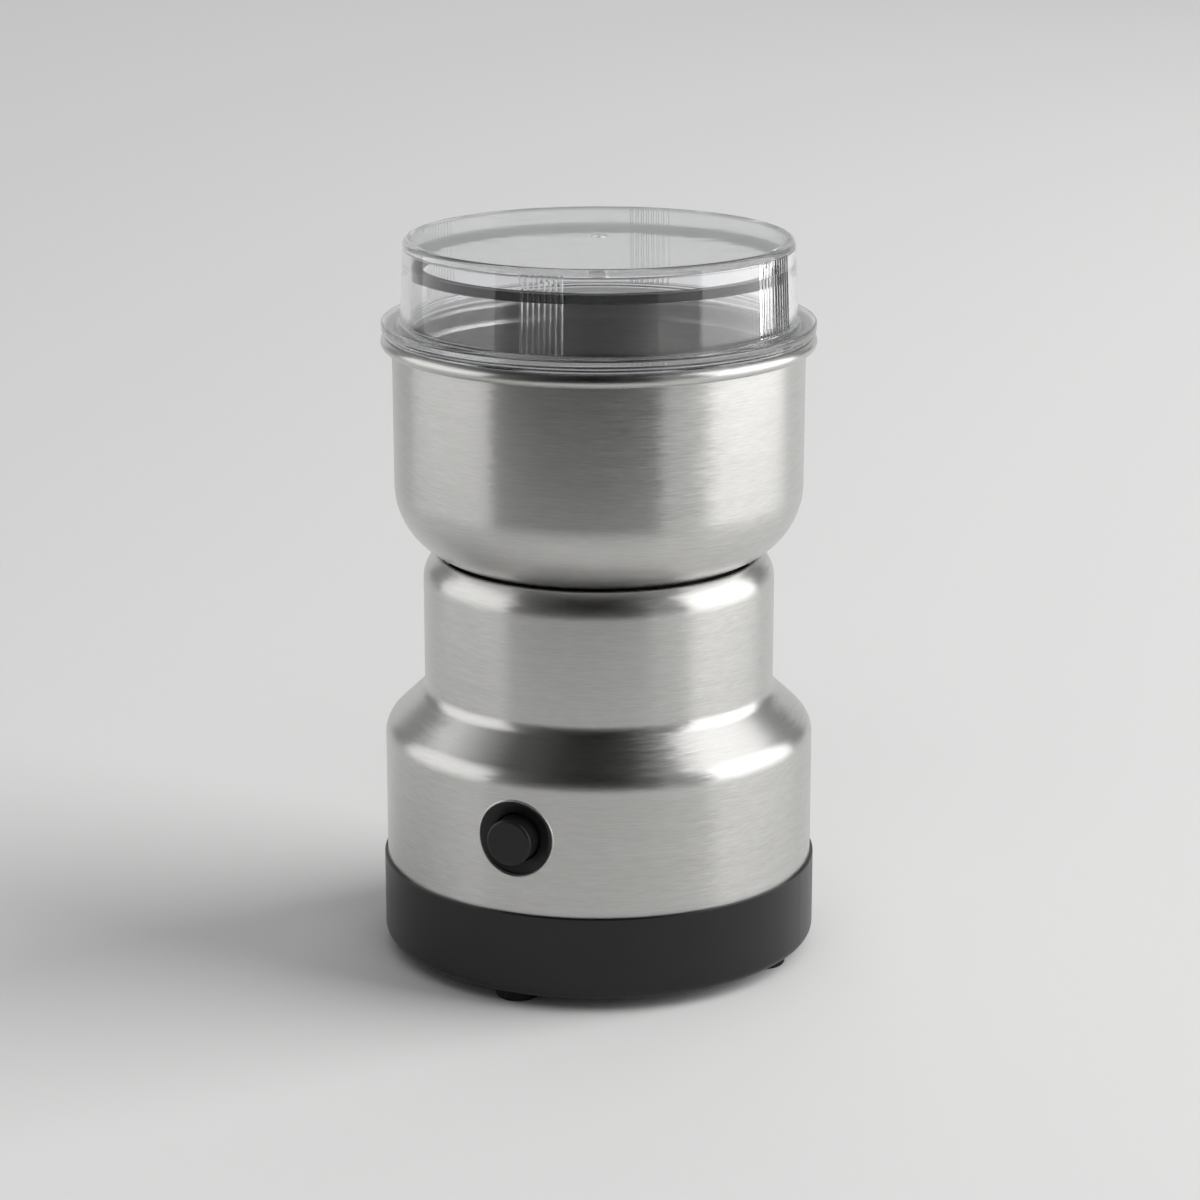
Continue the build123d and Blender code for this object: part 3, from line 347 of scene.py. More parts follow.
class Process(Enum):
    """How the surface of a metal part was made."""

    TURNED = "turned"
    GROUND = "ground"
    STAMPED = "stamped"
    DRAWN = "drawn"
    PLATED = "plated"
    CAST = "cast"
    SINTERED = "sintered"


@dataclass(frozen=True)
class WorkedMetal:
    """Bare or plated metal with the marks of its last process.

    Attributes:
        name: Name of the material.
        dark: Colour in the marks.
        light: Colour on them.
        process: Last process.
    """

    name: str
    dark: str
    light: str
    process: Process

    def make(self) -> Material:
        """Builds the material.

        Returns:
            The material.
        """
        # Each process: lay, width and length of its marks in millimetres, height of the relief, roughness.
        lay, fine, long, relief, rough = {
            Process.TURNED: (Lay.ROUND, 0.12, 6.0, 0.003, (0.22, 0.32)),
            Process.GROUND: (Lay.ACROSS, 0.15, 5.0, 0.003, (0.18, 0.3)),
            Process.STAMPED: (Lay.ACROSS, 0.5, 9.0, 0.006, (0.3, 0.42)),
            Process.DRAWN: (Lay.UP, 0.2, 8.0, 0.003, (0.24, 0.36)),
            Process.PLATED: (Lay.NONE, 0.5, 0.5, 0.003, (0.26, 0.38)),
            Process.CAST: (Lay.NONE, 0.7, 0.7, 0.03, (0.44, 0.6)),
            Process.SINTERED: (Lay.NONE, 0.25, 0.25, 0.02, (0.42, 0.58)),
        }[self.process]
        recipe = Recipe(self.name, {"Metallic": 1.0})
        tool = recipe.marks(fine, long, lay)
        cloud = recipe.marks(6.0, detail=2.0)
        both = recipe.blend(tool, cloud, 0.35)
        return recipe.paint(both, [(0.35, self.dark), (0.65, self.light)], rough, relief, tool)


@dataclass(frozen=True)
class SheetStack:
    """Punched electrical steel sheets in a stack: fine dark joints between blue-grey edges.

    Attributes:
        name: Name of the material.
        sheet: Thickness of a sheet, in millimetres.
    """

    name: str
    sheet: float = 0.5

    def make(self) -> Material:
        """Builds the material.

        Returns:
            The material.
        """
        recipe = Recipe(self.name, {"Metallic": 0.9})
        level = recipe.add("Math", {"operation": "DIVIDE", 1: self.sheet}, {0: recipe.apart.outputs["Z"]})
        edge = recipe.add("Math", {"operation": "PINGPONG", 1: 0.5}, {0: level})
        face = recipe.add("MapRange", {"From Max": 0.12, "To Min": 0.1, "To Max": 0.9}, {0: edge})
        oxide = recipe.marks(3.0)
        both = recipe.blend(face, oxide, 0.4)
        return recipe.paint(both, [(0.25, "3A3D42"), (0.75, "83878C")], (0.6, 0.4), 0.05, face)


@dataclass(frozen=True)
class EnamelledWire:
    """Wound magnet wire under its baked enamel: glossy red-brown turns side by side, with painted shade in the grooves
    between them.

    Attributes:
        name: Name of the material.
        wire: Diameter of the wire, in millimetres.
    """

    name: str
    wire: float = 0.45

    def make(self) -> Material:
        """Builds the material.

        Returns:
            The material.
        """
        recipe = Recipe(self.name, {"Metallic": 1.0, "Coat Weight": 0.8, "Coat Roughness": 0.12})
        step = recipe.add("Math", {"operation": "ADD"}, {0: recipe.apart.outputs["Z"], 1: recipe.out})
        turns = recipe.add("Math", {"operation": "DIVIDE", 1: self.wire}, {0: step})
        ridge = recipe.add("Math", {"operation": "PINGPONG", 1: 0.5}, {0: turns})
        # Painted shade: the colour darkens into the grooves between the turns; the same ridge gives the turns' relief.
        turn_relief_and_gap_shade = recipe.add("MapRange", {"interpolation_type": "SMOOTHSTEP", "From Max": 0.5}, {0: ridge})
        bake = recipe.marks(2.5)
        both = recipe.blend(turn_relief_and_gap_shade, bake, 0.4)
        return recipe.paint(both, [(0.25, "4A1E0E"), (0.75, "B0562C")], (0.34, 0.22), 0.12, turn_relief_and_gap_shade)


@dataclass(frozen=True)
class PressedCarbon:
    """Pressed electrographite: dark grey with bright flakes and small pores."""

    name: str = "electrographite_pressed"

    def make(self) -> Material:
        """Builds the material.

        Returns:
            The material.
        """
        recipe = Recipe(self.name, {"Metallic": 0.2})
        flakes = recipe.marks(0.25, detail=5.0)
        return recipe.paint(flakes, [(0.4, "1C1C1D"), (0.7, "4B4B4D")], (0.5, 0.7), 0.02)


@dataclass(frozen=True)
class PaperSweep:
    """Seamless photo paper: matt, with a tone so slight that the floor looks plain."""

    name: str = "studio_paper"

    def make(self) -> Material:
        """Builds the material.

        Returns:
            The material.
        """
        recipe = Recipe(self.name, {"Specular IOR Level": 0.0})
        fibre = recipe.marks(0.6, detail=2.0)
        return recipe.paint(fibre, [(0.3, "E7E7E6"), (0.7, "E8E8E7")], (0.85, 0.95), 0.0)


def dress(material: Material, *nodes: str) -> None:
    """Gives CAD nodes a material.

    Args:
        material: The material.
        nodes: Names of the nodes.
    """
    for node in nodes:
        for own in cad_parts[node].material_slots:
            own.material = material
    log.info("%s: %s", material.name, ", ".join(nodes))


# Meshes


@dataclass(frozen=True)
class Corner:
    """A corner of a section: distance from the axis, height and round, in millimetres."""

    out: float
    up: float
    round: float = 0.0


@dataclass(frozen=True)
class Row:
    """A point of a section and the direction of the sheet's other face, which is to the left of the path."""

    place: Vector
    left: Vector


def rounded(corners: Sequence[Corner], closed: bool = False) -> list[Row]:
    """Rounds the corners of a section and divides its straights.

    Args:
        corners: Corners in order.
        closed: True where the last corner joins the first.

    Returns:
        Rows along the section.
    """
    arcs = []
    for number, corner in enumerate(corners):
        here = Vector((corner.out, corner.up))
        if not corner.round or (not closed and number in (0, len(corners) - 1)):
            arcs.append([Row(here, Vector((0, 0)))])
            continue
        ahead, behind = corners[(number + 1) % len(corners)], corners[number - 1]
        back = (Vector((behind.out, behind.up)) - here).normalized()
        on = (Vector((ahead.out, ahead.up)) - here).normalized()
        half = back.angle(on) / 2
        centre = here + (back + on).normalized() * corner.round / sin(half)
        start = here + back * corner.round / tan(half) - centre
        side = 1 if back.x * on.y - back.y * on.x < 0 else -1
        turn = (pi - 2 * half) * side
        steps = max(2, round(abs(degrees(turn)) / ARC_STEP))
        spokes = [Matrix.Rotation(turn * step / steps, 2) @ start for step in range(steps + 1)]
        arcs.append([Row(centre + spoke, -side * spoke.normalized()) for spoke in spokes])
    rows = []
    for number, arc in enumerate(arcs):
        rows += arc
        if not closed and number == len(arcs) - 1:
            break
        start, end = arc[-1].place, arcs[(number + 1) % len(arcs)][0].place
        run = end - start
        if run.length < TOUCH:
            continue
        left = Vector((-run.y, run.x)).normalized()
        if not rows[-1].left.length:
            rows[-1] = Row(start, left)
        inner = [EDGE_ROW, run.length - EDGE_ROW] if run.length > 3 * EDGE_ROW else []
        steps = max(1, round(run.length / ROW_STEP))
        inner += [run.length * step / steps for step in range(1, steps)]
        rows += [Row(start + run.normalized() * far, left) for far in sorted(inner)]
    if not rows[-1].left.length:
        rows[-1] = Row(rows[-1].place, rows[-2].left)
    return rows


def sheet_section(rows: Sequence[Row], thickness: float) -> list[Vector]:
    """Closes a sheet's section.

    Args:
        rows: Rows along one face of the sheet.
        thickness: Thickness of the sheet, to the left of the rows.

    Returns:
        Points of the closed section.
    """
    return [row.place for row in rows] + [row.place + row.left * thickness for row in reversed(rows)]


def even_angles(steps: int = TURN_STEPS) -> list[float]:
    """Angles of evenly spaced columns, in degrees."""
    return [360 * step / steps for step in range(steps)]


def new_piece(name: str, points: Sequence[Vector], faces: Sequence[Sequence[int]]) -> Object:
    """Makes a piece and puts it in the scene.

    Args:
        name: Name of the new piece.
        points: Its points, in metres.
        faces: For each face, the numbers of its points.

    Returns:
        The new piece.
    """
    mesh = bpy.data.meshes.new(name)
    mesh.from_pydata(points, [], faces)
    piece = bpy.data.objects.new(name, mesh)
    bpy.context.scene.collection.objects.link(piece)
    return piece


def finish_mesh(piece: Object) -> Object:
    """Turns a piece's faces outwards and shades it smooth between its creases.

    Args:
        piece: The piece.

    Returns:
        The same piece.
    """
    work = bmesh.new()
    work.from_mesh(piece.data)
    bmesh.ops.recalc_face_normals(work, faces=work.faces)
    work.to_mesh(piece.data)
    work.free()
    piece.data.shade_smooth()
    piece.data.set_sharp_from_angle(angle=radians(CREASE))
    return piece


def turned(name: str, section: Sequence[Vector], closed: bool, angles: Sequence[float] | None = None,
           swell: Callable[[float, float, float], float] | None = None) -> Object:
    """Turns a section round the upright axis.

    Args:
        name: Name of the new piece.
        section: Points of the section, in millimetres. An open section starts and ends on the axis.
        closed: True where the last point joins the first.
        angles: Angles of the columns, in degrees.
        swell: Gives a point's distance from the axis from its own distance, its height and its angle.

    Returns:
        The new piece.
    """
    columns = sorted(angles or even_angles())
    points, ids = [], {}
    for column, angle in enumerate(columns):
        for number, point in enumerate(section):
            if point.x < TOUCH and column:
                ids[column, number] = ids[0, number]
                continue
            far = swell(point.x, point.y, angle) if swell else point.x
            ids[column, number] = len(points)
            points.append(Vector((far * sin(radians(angle)), -far * cos(radians(angle)), point.y)) * MILLIMETRE)
    faces = []
    for column in range(len(columns)):
        beside = (column + 1) % len(columns)
        for number in range(len(section) if closed else len(section) - 1):
            after = (number + 1) % len(section)
            ring = [ids[column, number], ids[beside, number], ids[beside, after], ids[column, after]]
            face = list(dict.fromkeys(ring))
            if len(face) > 2:
                faces.append(face)
    return finish_mesh(new_piece(name, points, faces))


def rod(name: str, radius: float, start: float, end: float) -> Object:
    """Makes a plain round rod that cuts a hole.

    Args:
        name: Name of the rod.
        radius: Its radius, in millimetres.
        start: Its lower end.
        end: Its upper end.

    Returns:
        The rod.
    """
    section = [Vector(point) for point in ((0, start), (radius, start), (radius, end), (0, end))]
    return turned(name, section, closed=False, angles=even_angles(HOLE_STEPS))


def screw_rods(level: float, radius: float = 1.7, circle: float = 24.0, reach: float = 3.0) -> list[Object]:
    """Makes the rods that cut the holes of the three bowl screws.

    Args:
        level: Height of the sheet that they go through, in millimetres.
        radius: Radius of a hole.
        circle: Distance of the holes from the axis.
        reach: How far a rod stands out at each side.

    Returns:
        The rods.
    """
    rods = []
    for turn in (0, 120, 240):
        hole = rod("screw_hole", radius, level - reach, level + reach)
        hole.location = Vector((sin(radians(turn)), -cos(radians(turn)), 0)) * circle * MILLIMETRE
        rods.append(hole)
    return rods


def cut(piece: Object, cutters: Sequence[Object]) -> Object:
    """Cuts holes in a piece and removes what cut them.

    Args:
        piece: The piece.
        cutters: Rods in the places of the holes.

    Returns:
        The same piece.
    """
    for cutter in cutters:
        hole = piece.modifiers.new("hole", "BOOLEAN")
        hole.operation, hole.solver, hole.object = "DIFFERENCE", "EXACT", cutter
    whole = piece.evaluated_get(bpy.context.evaluated_depsgraph_get())
    mesh = bpy.data.meshes.new_from_object(whole)
    piece.modifiers.clear()
    piece.data = mesh
    for cutter in cutters:
        bpy.data.objects.remove(cutter)
    return finish_mesh(piece)


def merge(piece: Object, mesh: Mesh) -> Object:
    """Adds a mesh to a piece.

    Args:
        piece: The piece.
        mesh: What it gains.

    Returns:
        The same piece.
    """
    work = bmesh.new()
    work.from_mesh(piece.data)
    work.from_mesh(mesh)
    work.to_mesh(piece.data)
    work.free()
    return finish_mesh(piece)


def settle(piece: Object, material: Material, body: str, node: str) -> None:
    """Dresses a new piece and puts it in the place of a CAD node.

    Args:
        piece: The piece.
        material: Its material.
        body: Name of the body that it rides on.
        node: Name of the node that it stands for.
    """
    piece.data.materials.clear()
    piece.data.materials.append(material)
    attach(piece, body)
    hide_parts(node)
    log.info("%s: %d faces for %s, on %s", piece.name, len(piece.data.polygons), node, body)


# Sub-assemblies


@dataclass
class SteelHousing:
    """Waisted steel housing: straight body, cone, neck, and the shoulder that carries the bowl."""

    foot: float = 18.3
    body_radius: float = 49.25
    body_corner: float = 53.6
    body_round: float = 6.2
    neck_radius: float = 40.14
    neck_foot: float = 62.2
    neck_round: float = 4.0
    shoulder: float = 90.87
    shoulder_round: float = 7.5
    rim_radius: float = 35.6
    rim: float = 95.26
    rim_round: float = 1.2
    floor: float = 91.0
    floor_round: float = 0.8
    opening: float = 11.0
    sheet: float = 0.6
    hole_radius: float = 8.8
    hole_level: float = 39.7
    hole_reach: tuple[float, float] = (40.0, 60.0)
    lip: float = 0.28
    lip_points: int = 128

    def section(self) -> list[Vector]:
        """Draws the sheet from its foot in the pan to the hole in the plate under the bowl.

        Returns:
            Points of the closed section.
        """
        return sheet_section(rounded([
            Corner(self.body_radius, self.foot),
            Corner(self.body_radius, self.body_corner, self.body_round),
            Corner(self.neck_radius, self.neck_foot, self.neck_round),
            Corner(self.neck_radius, self.shoulder, self.shoulder_round),
            Corner(self.rim_radius, self.rim, self.rim_round),
            Corner(self.rim_radius, self.floor, self.floor_round),
            Corner(self.opening, self.floor),
        ]), self.sheet)

    def hole_lip(self) -> Mesh:
        """Makes the fine lip that stands round the button hole.

        Returns:
            Its mesh.
        """
        line = bpy.data.curves.new("hole_lip", "CURVE")
        line.dimensions, line.bevel_depth, line.bevel_resolution = "3D", self.lip * MILLIMETRE, 3
        ring = line.splines.new("POLY")
        ring.points.add(self.lip_points - 1)
        ring.use_cyclic_u = True
        for number, point in enumerate(ring.points):
            turn = 2 * pi * number / len(ring.points)
            side, up = self.hole_radius * sin(turn), self.hole_level + self.hole_radius * cos(turn)
            front = -((self.body_radius - self.lip / 2) ** 2 - side ** 2) ** 0.5
            point.co = (*(Vector((side, front, up)) * MILLIMETRE), 1)
        holder = bpy.data.objects.new("hole_lip", line)
        mesh = bpy.data.meshes.new_from_object(holder)
        bpy.data.objects.remove(holder)
        return mesh

    def build(self) -> None:
        """Builds the housing with its button hole and screw holes."""
        shell = turned("housing_sheet", self.section(), closed=True)
        button_hole = rod("button_hole", self.hole_radius, *self.hole_reach)
        button_hole.location.z, button_hole.rotation_euler.x = self.hole_level * MILLIMETRE, pi / 2
        holes = [button_hole, *screw_rods(self.floor)]
        steel = BrushedSteel("stainless_housing_brushed", slope=-1.0).make()
        settle(merge(cut(shell, holes), self.hole_lip()), steel, "root", "body_shell")


@dataclass
class SteelBowl:
    """Drawn steel bowl: raised centre, flat floor, large lower round, straight wall and an open rolled bead."""

    shaft_hole: float = 5.0
    centre_level: float = 98.3
    centre_radius: float = 13.0
    floor_start: float = 16.5
    floor_level: float = 92.8
    step_round: float = 2.0
    wall_foot: float = 46.42
    wall_radius: float = 46.6
    lower_round: float = 17.25
    bead_level: float = 142.8
    bead_radius: float = 1.5
    bead_end: float = -110.0
    sheet: float = 0.5

    def section(self) -> list[Vector]:
        """Draws the sheet from the shaft's hole to the end of the bead, which is rolled outwards.

        Returns:
            Points of the closed section.
        """
        rows = rounded([
            Corner(self.shaft_hole, self.centre_level),
            Corner(self.centre_radius, self.centre_level, self.step_round),
            Corner(self.floor_start, self.floor_level, self.step_round),
            Corner(self.wall_foot, self.floor_level, self.lower_round),
            Corner(self.wall_radius, self.bead_level),
        ])
        curl = self.bead_radius - self.sheet
        centre = Vector((self.wall_radius + curl, self.bead_level))
        steps = round((180 - self.bead_end) / (2 * ARC_STEP))
        for step in range(1, steps + 1):
            angle = radians(180 + (self.bead_end - 180) * step / steps)
            spoke = Vector((cos(angle), sin(angle)))
            rows.append(Row(centre + spoke * curl, spoke))
        return sheet_section(rows, self.sheet)

    def build(self) -> None:
        """Builds the bowl with its screw holes."""
        bowl = turned("bowl_sheet", self.section(), closed=True)
        steel = BrushedSteel("stainless_bowl_brushed", slope=1.0).make()
        settle(cut(bowl, screw_rods(self.floor_level)), steel, "root", "bowl")


@dataclass
class ClearLid:
    """Loose clear lid: flange, skirt that goes into the bowl, grip ribs, gate dimple, and the black ring inside."""

    top: float = 166.0
    top_radius: float = 43.93
    top_round: float = 1.5
    wall_foot_radius: float = 44.7
    flange_top: float = 147.5
    flange_radius: float = 48.98
    flange_bottom: float = 145.3
    seat_radius: float = 48.2
    seat_bottom: float = 144.5
    skirt_radius: float = 45.52
    skirt_bottom: float = 139.0
    skirt_inside: float = 43.52
    inside_foot: float = 42.5
    inside_top_radius: float = 41.81
    inside_top: float = 164.0
    small_round: float = 0.5
    groove_bottom: float = 158.3
    groove_top: float = 160.5
    groove_radius: float = 42.305
    ring_inside: float = 39.605
    ring_air: float = 0.05
    ring_rounds: tuple[float, float] = (0.2, 0.4)
    dimple_radius: float = 1.7
    dimple_nub: float = 0.4
    dimple_depth: float = 0.8
    rib_height: float = 0.35
    rib_width: float = 0.75
    rib_step: float = 1.65
    rib_crown: float = 0.3
    wall_band: float = 0.02
    rib_columns: int = 9
    rib_margin: float = 1.2
    rib_groups: tuple[tuple[float, int], ...] = ((6.1, 8), (82.7, 11), (186.1, 8), (262.7, 11))

    def rib_angles(self) -> list[float]:
        """Angles of all the grip ribs, in degrees."""
        return [(middle + self.rib_step * (number - (count - 1) / 2)) % 360
                for middle, count in self.rib_groups for number in range(count)]

    def off_rib(self, angle: float) -> float:
        """Angle from the middle of the nearest grip rib, in degrees."""
        return min(abs((angle - rib + 180) % 360 - 180) for rib in self.rib_angles())

    def section(self) -> list[Vector]:
        """Draws the lid from the middle of its top round to the middle of its inside.

        Returns:
            Points of the open section.
        """
        slope = (self.inside_foot - self.inside_top_radius) / (self.inside_top - self.flange_top)
        at_bottom = self.inside_top_radius + slope * (self.inside_top - self.groove_bottom)
        at_top = self.inside_top_radius + slope * (self.inside_top - self.groove_top)
        dimple = self.top - self.dimple_depth
        edge = self.small_round / 3
        return [row.place for row in rounded([
            Corner(0, self.top), Corner(self.dimple_nub, self.top, edge), Corner(self.dimple_nub, dimple),
            Corner(self.dimple_radius, dimple), Corner(self.dimple_radius, self.top, edge),
            Corner(self.top_radius, self.top, self.top_round),
            Corner(self.wall_foot_radius, self.flange_top, self.small_round),
            Corner(self.flange_radius, self.flange_top, self.small_round),
            Corner(self.flange_radius, self.flange_bottom, self.small_round),
            Corner(self.seat_radius, self.flange_bottom), Corner(self.seat_radius, self.seat_bottom),
            Corner(self.skirt_radius, self.seat_bottom), Corner(self.skirt_radius, self.skirt_bottom, self.small_round),
            Corner(self.skirt_inside, self.skirt_bottom, self.small_round),
            Corner(self.skirt_inside, self.flange_bottom), Corner(self.inside_foot, self.flange_top),
            Corner(at_bottom, self.groove_bottom), Corner(self.groove_radius, self.groove_bottom),
            Corner(self.groove_radius, self.groove_top), Corner(at_top, self.groove_top),
            Corner(self.inside_top_radius, self.inside_top, self.small_round), Corner(0, self.inside_top),
        ])]

    def swell(self, far: float, up: float, angle: float) -> float:
        """Raises the grip ribs from the outer wall.

        Args:
            far: Distance of the point from the axis.
            up: Height of the point.
            angle: Angle of the point, in degrees.

        Returns:
            The distance with the rib's height added where there is one.
        """
        rib_top = self.top - self.top_round
        lean = (self.wall_foot_radius - self.top_radius) / (self.top - self.flange_top)
        wall = self.top_radius + lean * (self.top - up)
        if abs(far - wall) > self.wall_band or not self.flange_top < up < rib_top:
            return far
        reach = self.off_rib(angle) / 180 * pi * wall / (self.rib_width / 2)
        fall = min(1.0, max(0.0, (reach - self.rib_crown) / (1 - self.rib_crown)))
        return far + self.rib_height * (0.5 + 0.5 * cos(pi * fall))

    def build(self) -> None:
        """Builds the lid and its ring."""
        half = degrees(self.rib_width / 2 / self.wall_foot_radius)
        shares = [2 * column / (self.rib_columns - 1) - 1 for column in range(self.rib_columns)]
        fine = [(rib + half * share) % 360 for rib in self.rib_angles() for share in shares]
        coarse = [angle for angle in even_angles() if self.off_rib(angle) > self.rib_margin * half]
        shell = turned("lid_moulding", self.section(), closed=False, angles=coarse + fine, swell=self.swell)
        settle(shell, ClearPlastic().make(), "lid", "lid_shell")
        outside = self.groove_radius - self.ring_air
        bottom, top = self.groove_bottom + self.ring_air, self.groove_top - self.ring_air
        band = rounded([
            Corner(outside, bottom, self.ring_rounds[0]), Corner(outside, top, self.ring_rounds[0]),
            Corner(self.ring_inside, top, self.ring_rounds[1]), Corner(self.ring_inside, bottom, self.ring_rounds[1]),
        ], closed=True)
        ring = turned("lid_ring_band", [row.place for row in band], closed=True)
        settle(ring, MouldedRubber("silicone_ring_moulded", "0B0B0C", "111112", (0.4, 0.5)).make(), "lid",
               "lid_ring")


@dataclass
class BlackBase:
    """Black moulded pan with rubber feet, cord inlet, screws, and the gasket under the bowl."""

    def build(self) -> None:
        """Dresses the base's nodes."""
        dress(MouldedPlastic("abs_black_sparked", "0E0F0F", "151616", Mould.SPARKED, shine=0.38).make(), "base_pan")
        dress(MouldedRubber("rubber_black_moulded").make(), "rubber_feet", "cord_grommet", "bowl_gasket", "shaft_seal")
        dress(WorkedMetal("zinc_plated_screw", "8E9092", "B9BBBA", Process.PLATED).make(),
              "base_screws", "bracket_screws", "switch_screws", "motor_screws", "terminal_screws")


@dataclass
class PushButton:
    """Round push button in its dished bezel, with its coil and the switch behind it."""

    level: float = 39.7
    coil_radius: float = 3.2
    coil_wire: float = 0.33
    coil_front: float = -47.3
    coil_back: float = -37.6
    coil_turns: int = 5
    coil_steps: int = 40
    coil_sides: int = 12
    pocket_end: float = -47.65
    bracket_face: float = -37.25
    travel: float = 2.8

    def coil(self) -> Object:
        """Winds the return spring at one length; the real spring is shorter while the button is pressed.

        Returns:
            The spring.
        """
        steps, sides = self.coil_steps * self.coil_turns, self.coil_sides
        rise = (self.coil_back - self.coil_front) / (2 * pi * self.coil_turns)
        points = []
        for step in range(steps + 1):
            turn = 2 * pi * self.coil_turns * step / steps
            spoke = Vector((cos(turn), 0, sin(turn)))
            along = Vector((-sin(turn), rise / self.coil_radius, cos(turn))).normalized()
            aside = along.cross(spoke)
            middle = spoke * self.coil_radius + Vector((0, self.coil_front + rise * turn, self.level))
            for side in range(sides):
                angle = 2 * pi * side / sides
                points.append((middle + (spoke * cos(angle) + aside * sin(angle)) * self.coil_wire) * MILLIMETRE)
        faces = [(step * sides + side, step * sides + (side + 1) % sides,
                  (step + 1) * sides + (side + 1) % sides, (step + 1) * sides + side)
                 for step in range(steps) for side in range(sides)]
        faces += [tuple(range(sides)), tuple(steps * sides + side for side in range(sides))]
        return finish_mesh(new_piece("button_coil", points, faces))

    def build(self) -> None:
        """Winds the coil, and dresses the button's and the switch's nodes."""
        wire = WorkedMetal("spring_wire_drawn", "8A8C8E", "B4B5B5", Process.DRAWN).make()
        coil = self.coil()
        settle(coil, wire, "root", "button_spring")
        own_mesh(coil)
        dress(MouldedPlastic("abs_button_satin", "141515", "1A1B1B", Mould.SATIN).make(), "push_button")
        dress(MouldedPlastic("abs_bezel_satin", "121313", "191919", Mould.SATIN).make(), "button_bezel")
        dress(wire, "brush_springs")
        dress(MouldedPlastic("nylon_grey_moulded", "8E9191", "A0A2A1", Mould.SATIN, 1.54).make(),
              "switch_bracket", "cooling_fan")
        dress(MouldedPlastic("switch_case_moulded", "2A2520", "3A332C", Mould.SATIN, 1.55).make(),
              "switch_body", "switch_plunger")


@dataclass
class Blades:
    """Two stamped and ground blades between collar, washer and nut."""

    def build(self) -> None:
        """Dresses the blades and what holds them."""
        dress(WorkedMetal("stainless_blade_ground", "A2A4A5", "CFD0CF", Process.GROUND).make(),
              "lower_blade", "upper_blade")
        dress(WorkedMetal("stainless_screw_turned", "9A9B9A", "C4C4C1", Process.TURNED).make(),
              "bowl_screws", "blade_washer", "blade_nut")
        dress(WorkedMetal("shaft_steel_ground", "97999B", "C2C3C3", Process.TURNED).make(),
              "motor_shaft", "blade_collar")


@dataclass
class Motor:
    """Universal motor: stator, armature, commutator, brush gear, bearings and brackets."""

    def build(self) -> None:
        """Dresses the motor's nodes."""
        dress(SheetStack("electrical_steel_stack").make(), "stator_core", "armature_core")
        dress(EnamelledWire("magnet_wire_enamelled").make(), "field_coils", "armature_winding")
        dress(WorkedMetal("commutator_copper_turned", "A35F3D", "D58E62", Process.TURNED).make(), "commutator")
        dress(WorkedMetal("brass_holder_stamped", "A98745", "D2B26B", Process.STAMPED).make(), "brush_holders")
        dress(PressedCarbon().make(), "carbon_brushes")
        dress(WorkedMetal("aluminium_bracket_cast", "9C9EA0", "BFC0C0", Process.CAST).make(),
              "lower_bracket", "upper_bracket")
        dress(WorkedMetal("bronze_bearing_sintered", "6E5436", "9A7B52", Process.SINTERED).make(),
              "lower_bearing", "upper_bearing")
        dress(MouldedPlastic("nylon_block_moulded", "D9D6C9", "E6E3D6", Mould.SATIN, 1.54).make(), "terminal_block")


# Studio


class Duty(Enum):
    """What a lamp is there for."""

    LIGHT = "lights the matt surfaces"
    MIRROR = "shows in the steel"
    SEEN = "shows in the steel and through the lid"


@dataclass(frozen=True)
class Lamp:
    """A softbox of the studio.

    Attributes:
        name: Its name.
        turn: Where it stands, in degrees from the camera.
        reach: Its distance from the axis.
        height: Height of its middle.
        size: Its width and height.
        radiance: How bright its face is.
        duty: What it is there for.
        aim: Distance from the axis and height of the point that it faces; the axis at its own height where None.
    """

    name: str
    turn: float
    reach: float
    height: float
    size: tuple[float, float]
    radiance: float
    duty: Duty
    aim: tuple[float, float] | None = None


LAMPS = (
    Lamp("key_softbox", 90, 0.9, 0.4, (1.04, 0.8), 2.0, Duty.SEEN),
    Lamp("key_upper", 90, 0.9, 1.3, (1.04, 1.0), 1.5, Duty.SEEN),
    Lamp("key_spill_low", 90, 2.0, 1.0, (2.31, 1.56), 4.3, Duty.LIGHT),
    Lamp("key_spill_high", 90, 2.0, 2.89, (2.31, 2.22), 2.9, Duty.LIGHT),
    Lamp("left_softbox", -90.5, 0.9, 0.445, (1.05, 0.89), 1.05, Duty.MIRROR),
    Lamp("backdrop_light", 180, 3.0, 2.6, (4.0, 2.0), 1.05, Duty.LIGHT, aim=(3.0, 0.0)),
    Lamp("front_fill", 0, 0.7, 0.9, (0.9, 0.4), 1.2, Duty.LIGHT, aim=(0.3, 0.0)),
    Lamp("rear_sweep", 180, 2.4, 0.75, (3.2, 1.5), 0.38, Duty.MIRROR),
)

# Painted light: the dark cloths glow in these tones by the place across them: 0.5 is the middle, and 1 is TONE_REACH to
# its right.
TONE_REACH = 500.0   # millimetres
FRONT_CLOTH_GLOW = ((0.29, "707070"), (0.36, "3C3C3C"), (0.45, "080808"), (0.52, "080808"), (0.6, "404040"),
               (0.63, "606060"))
TOP_CLOTH_GLOW = ((0.0, "303030"), (0.4, "242424"), (0.8, "303030"))


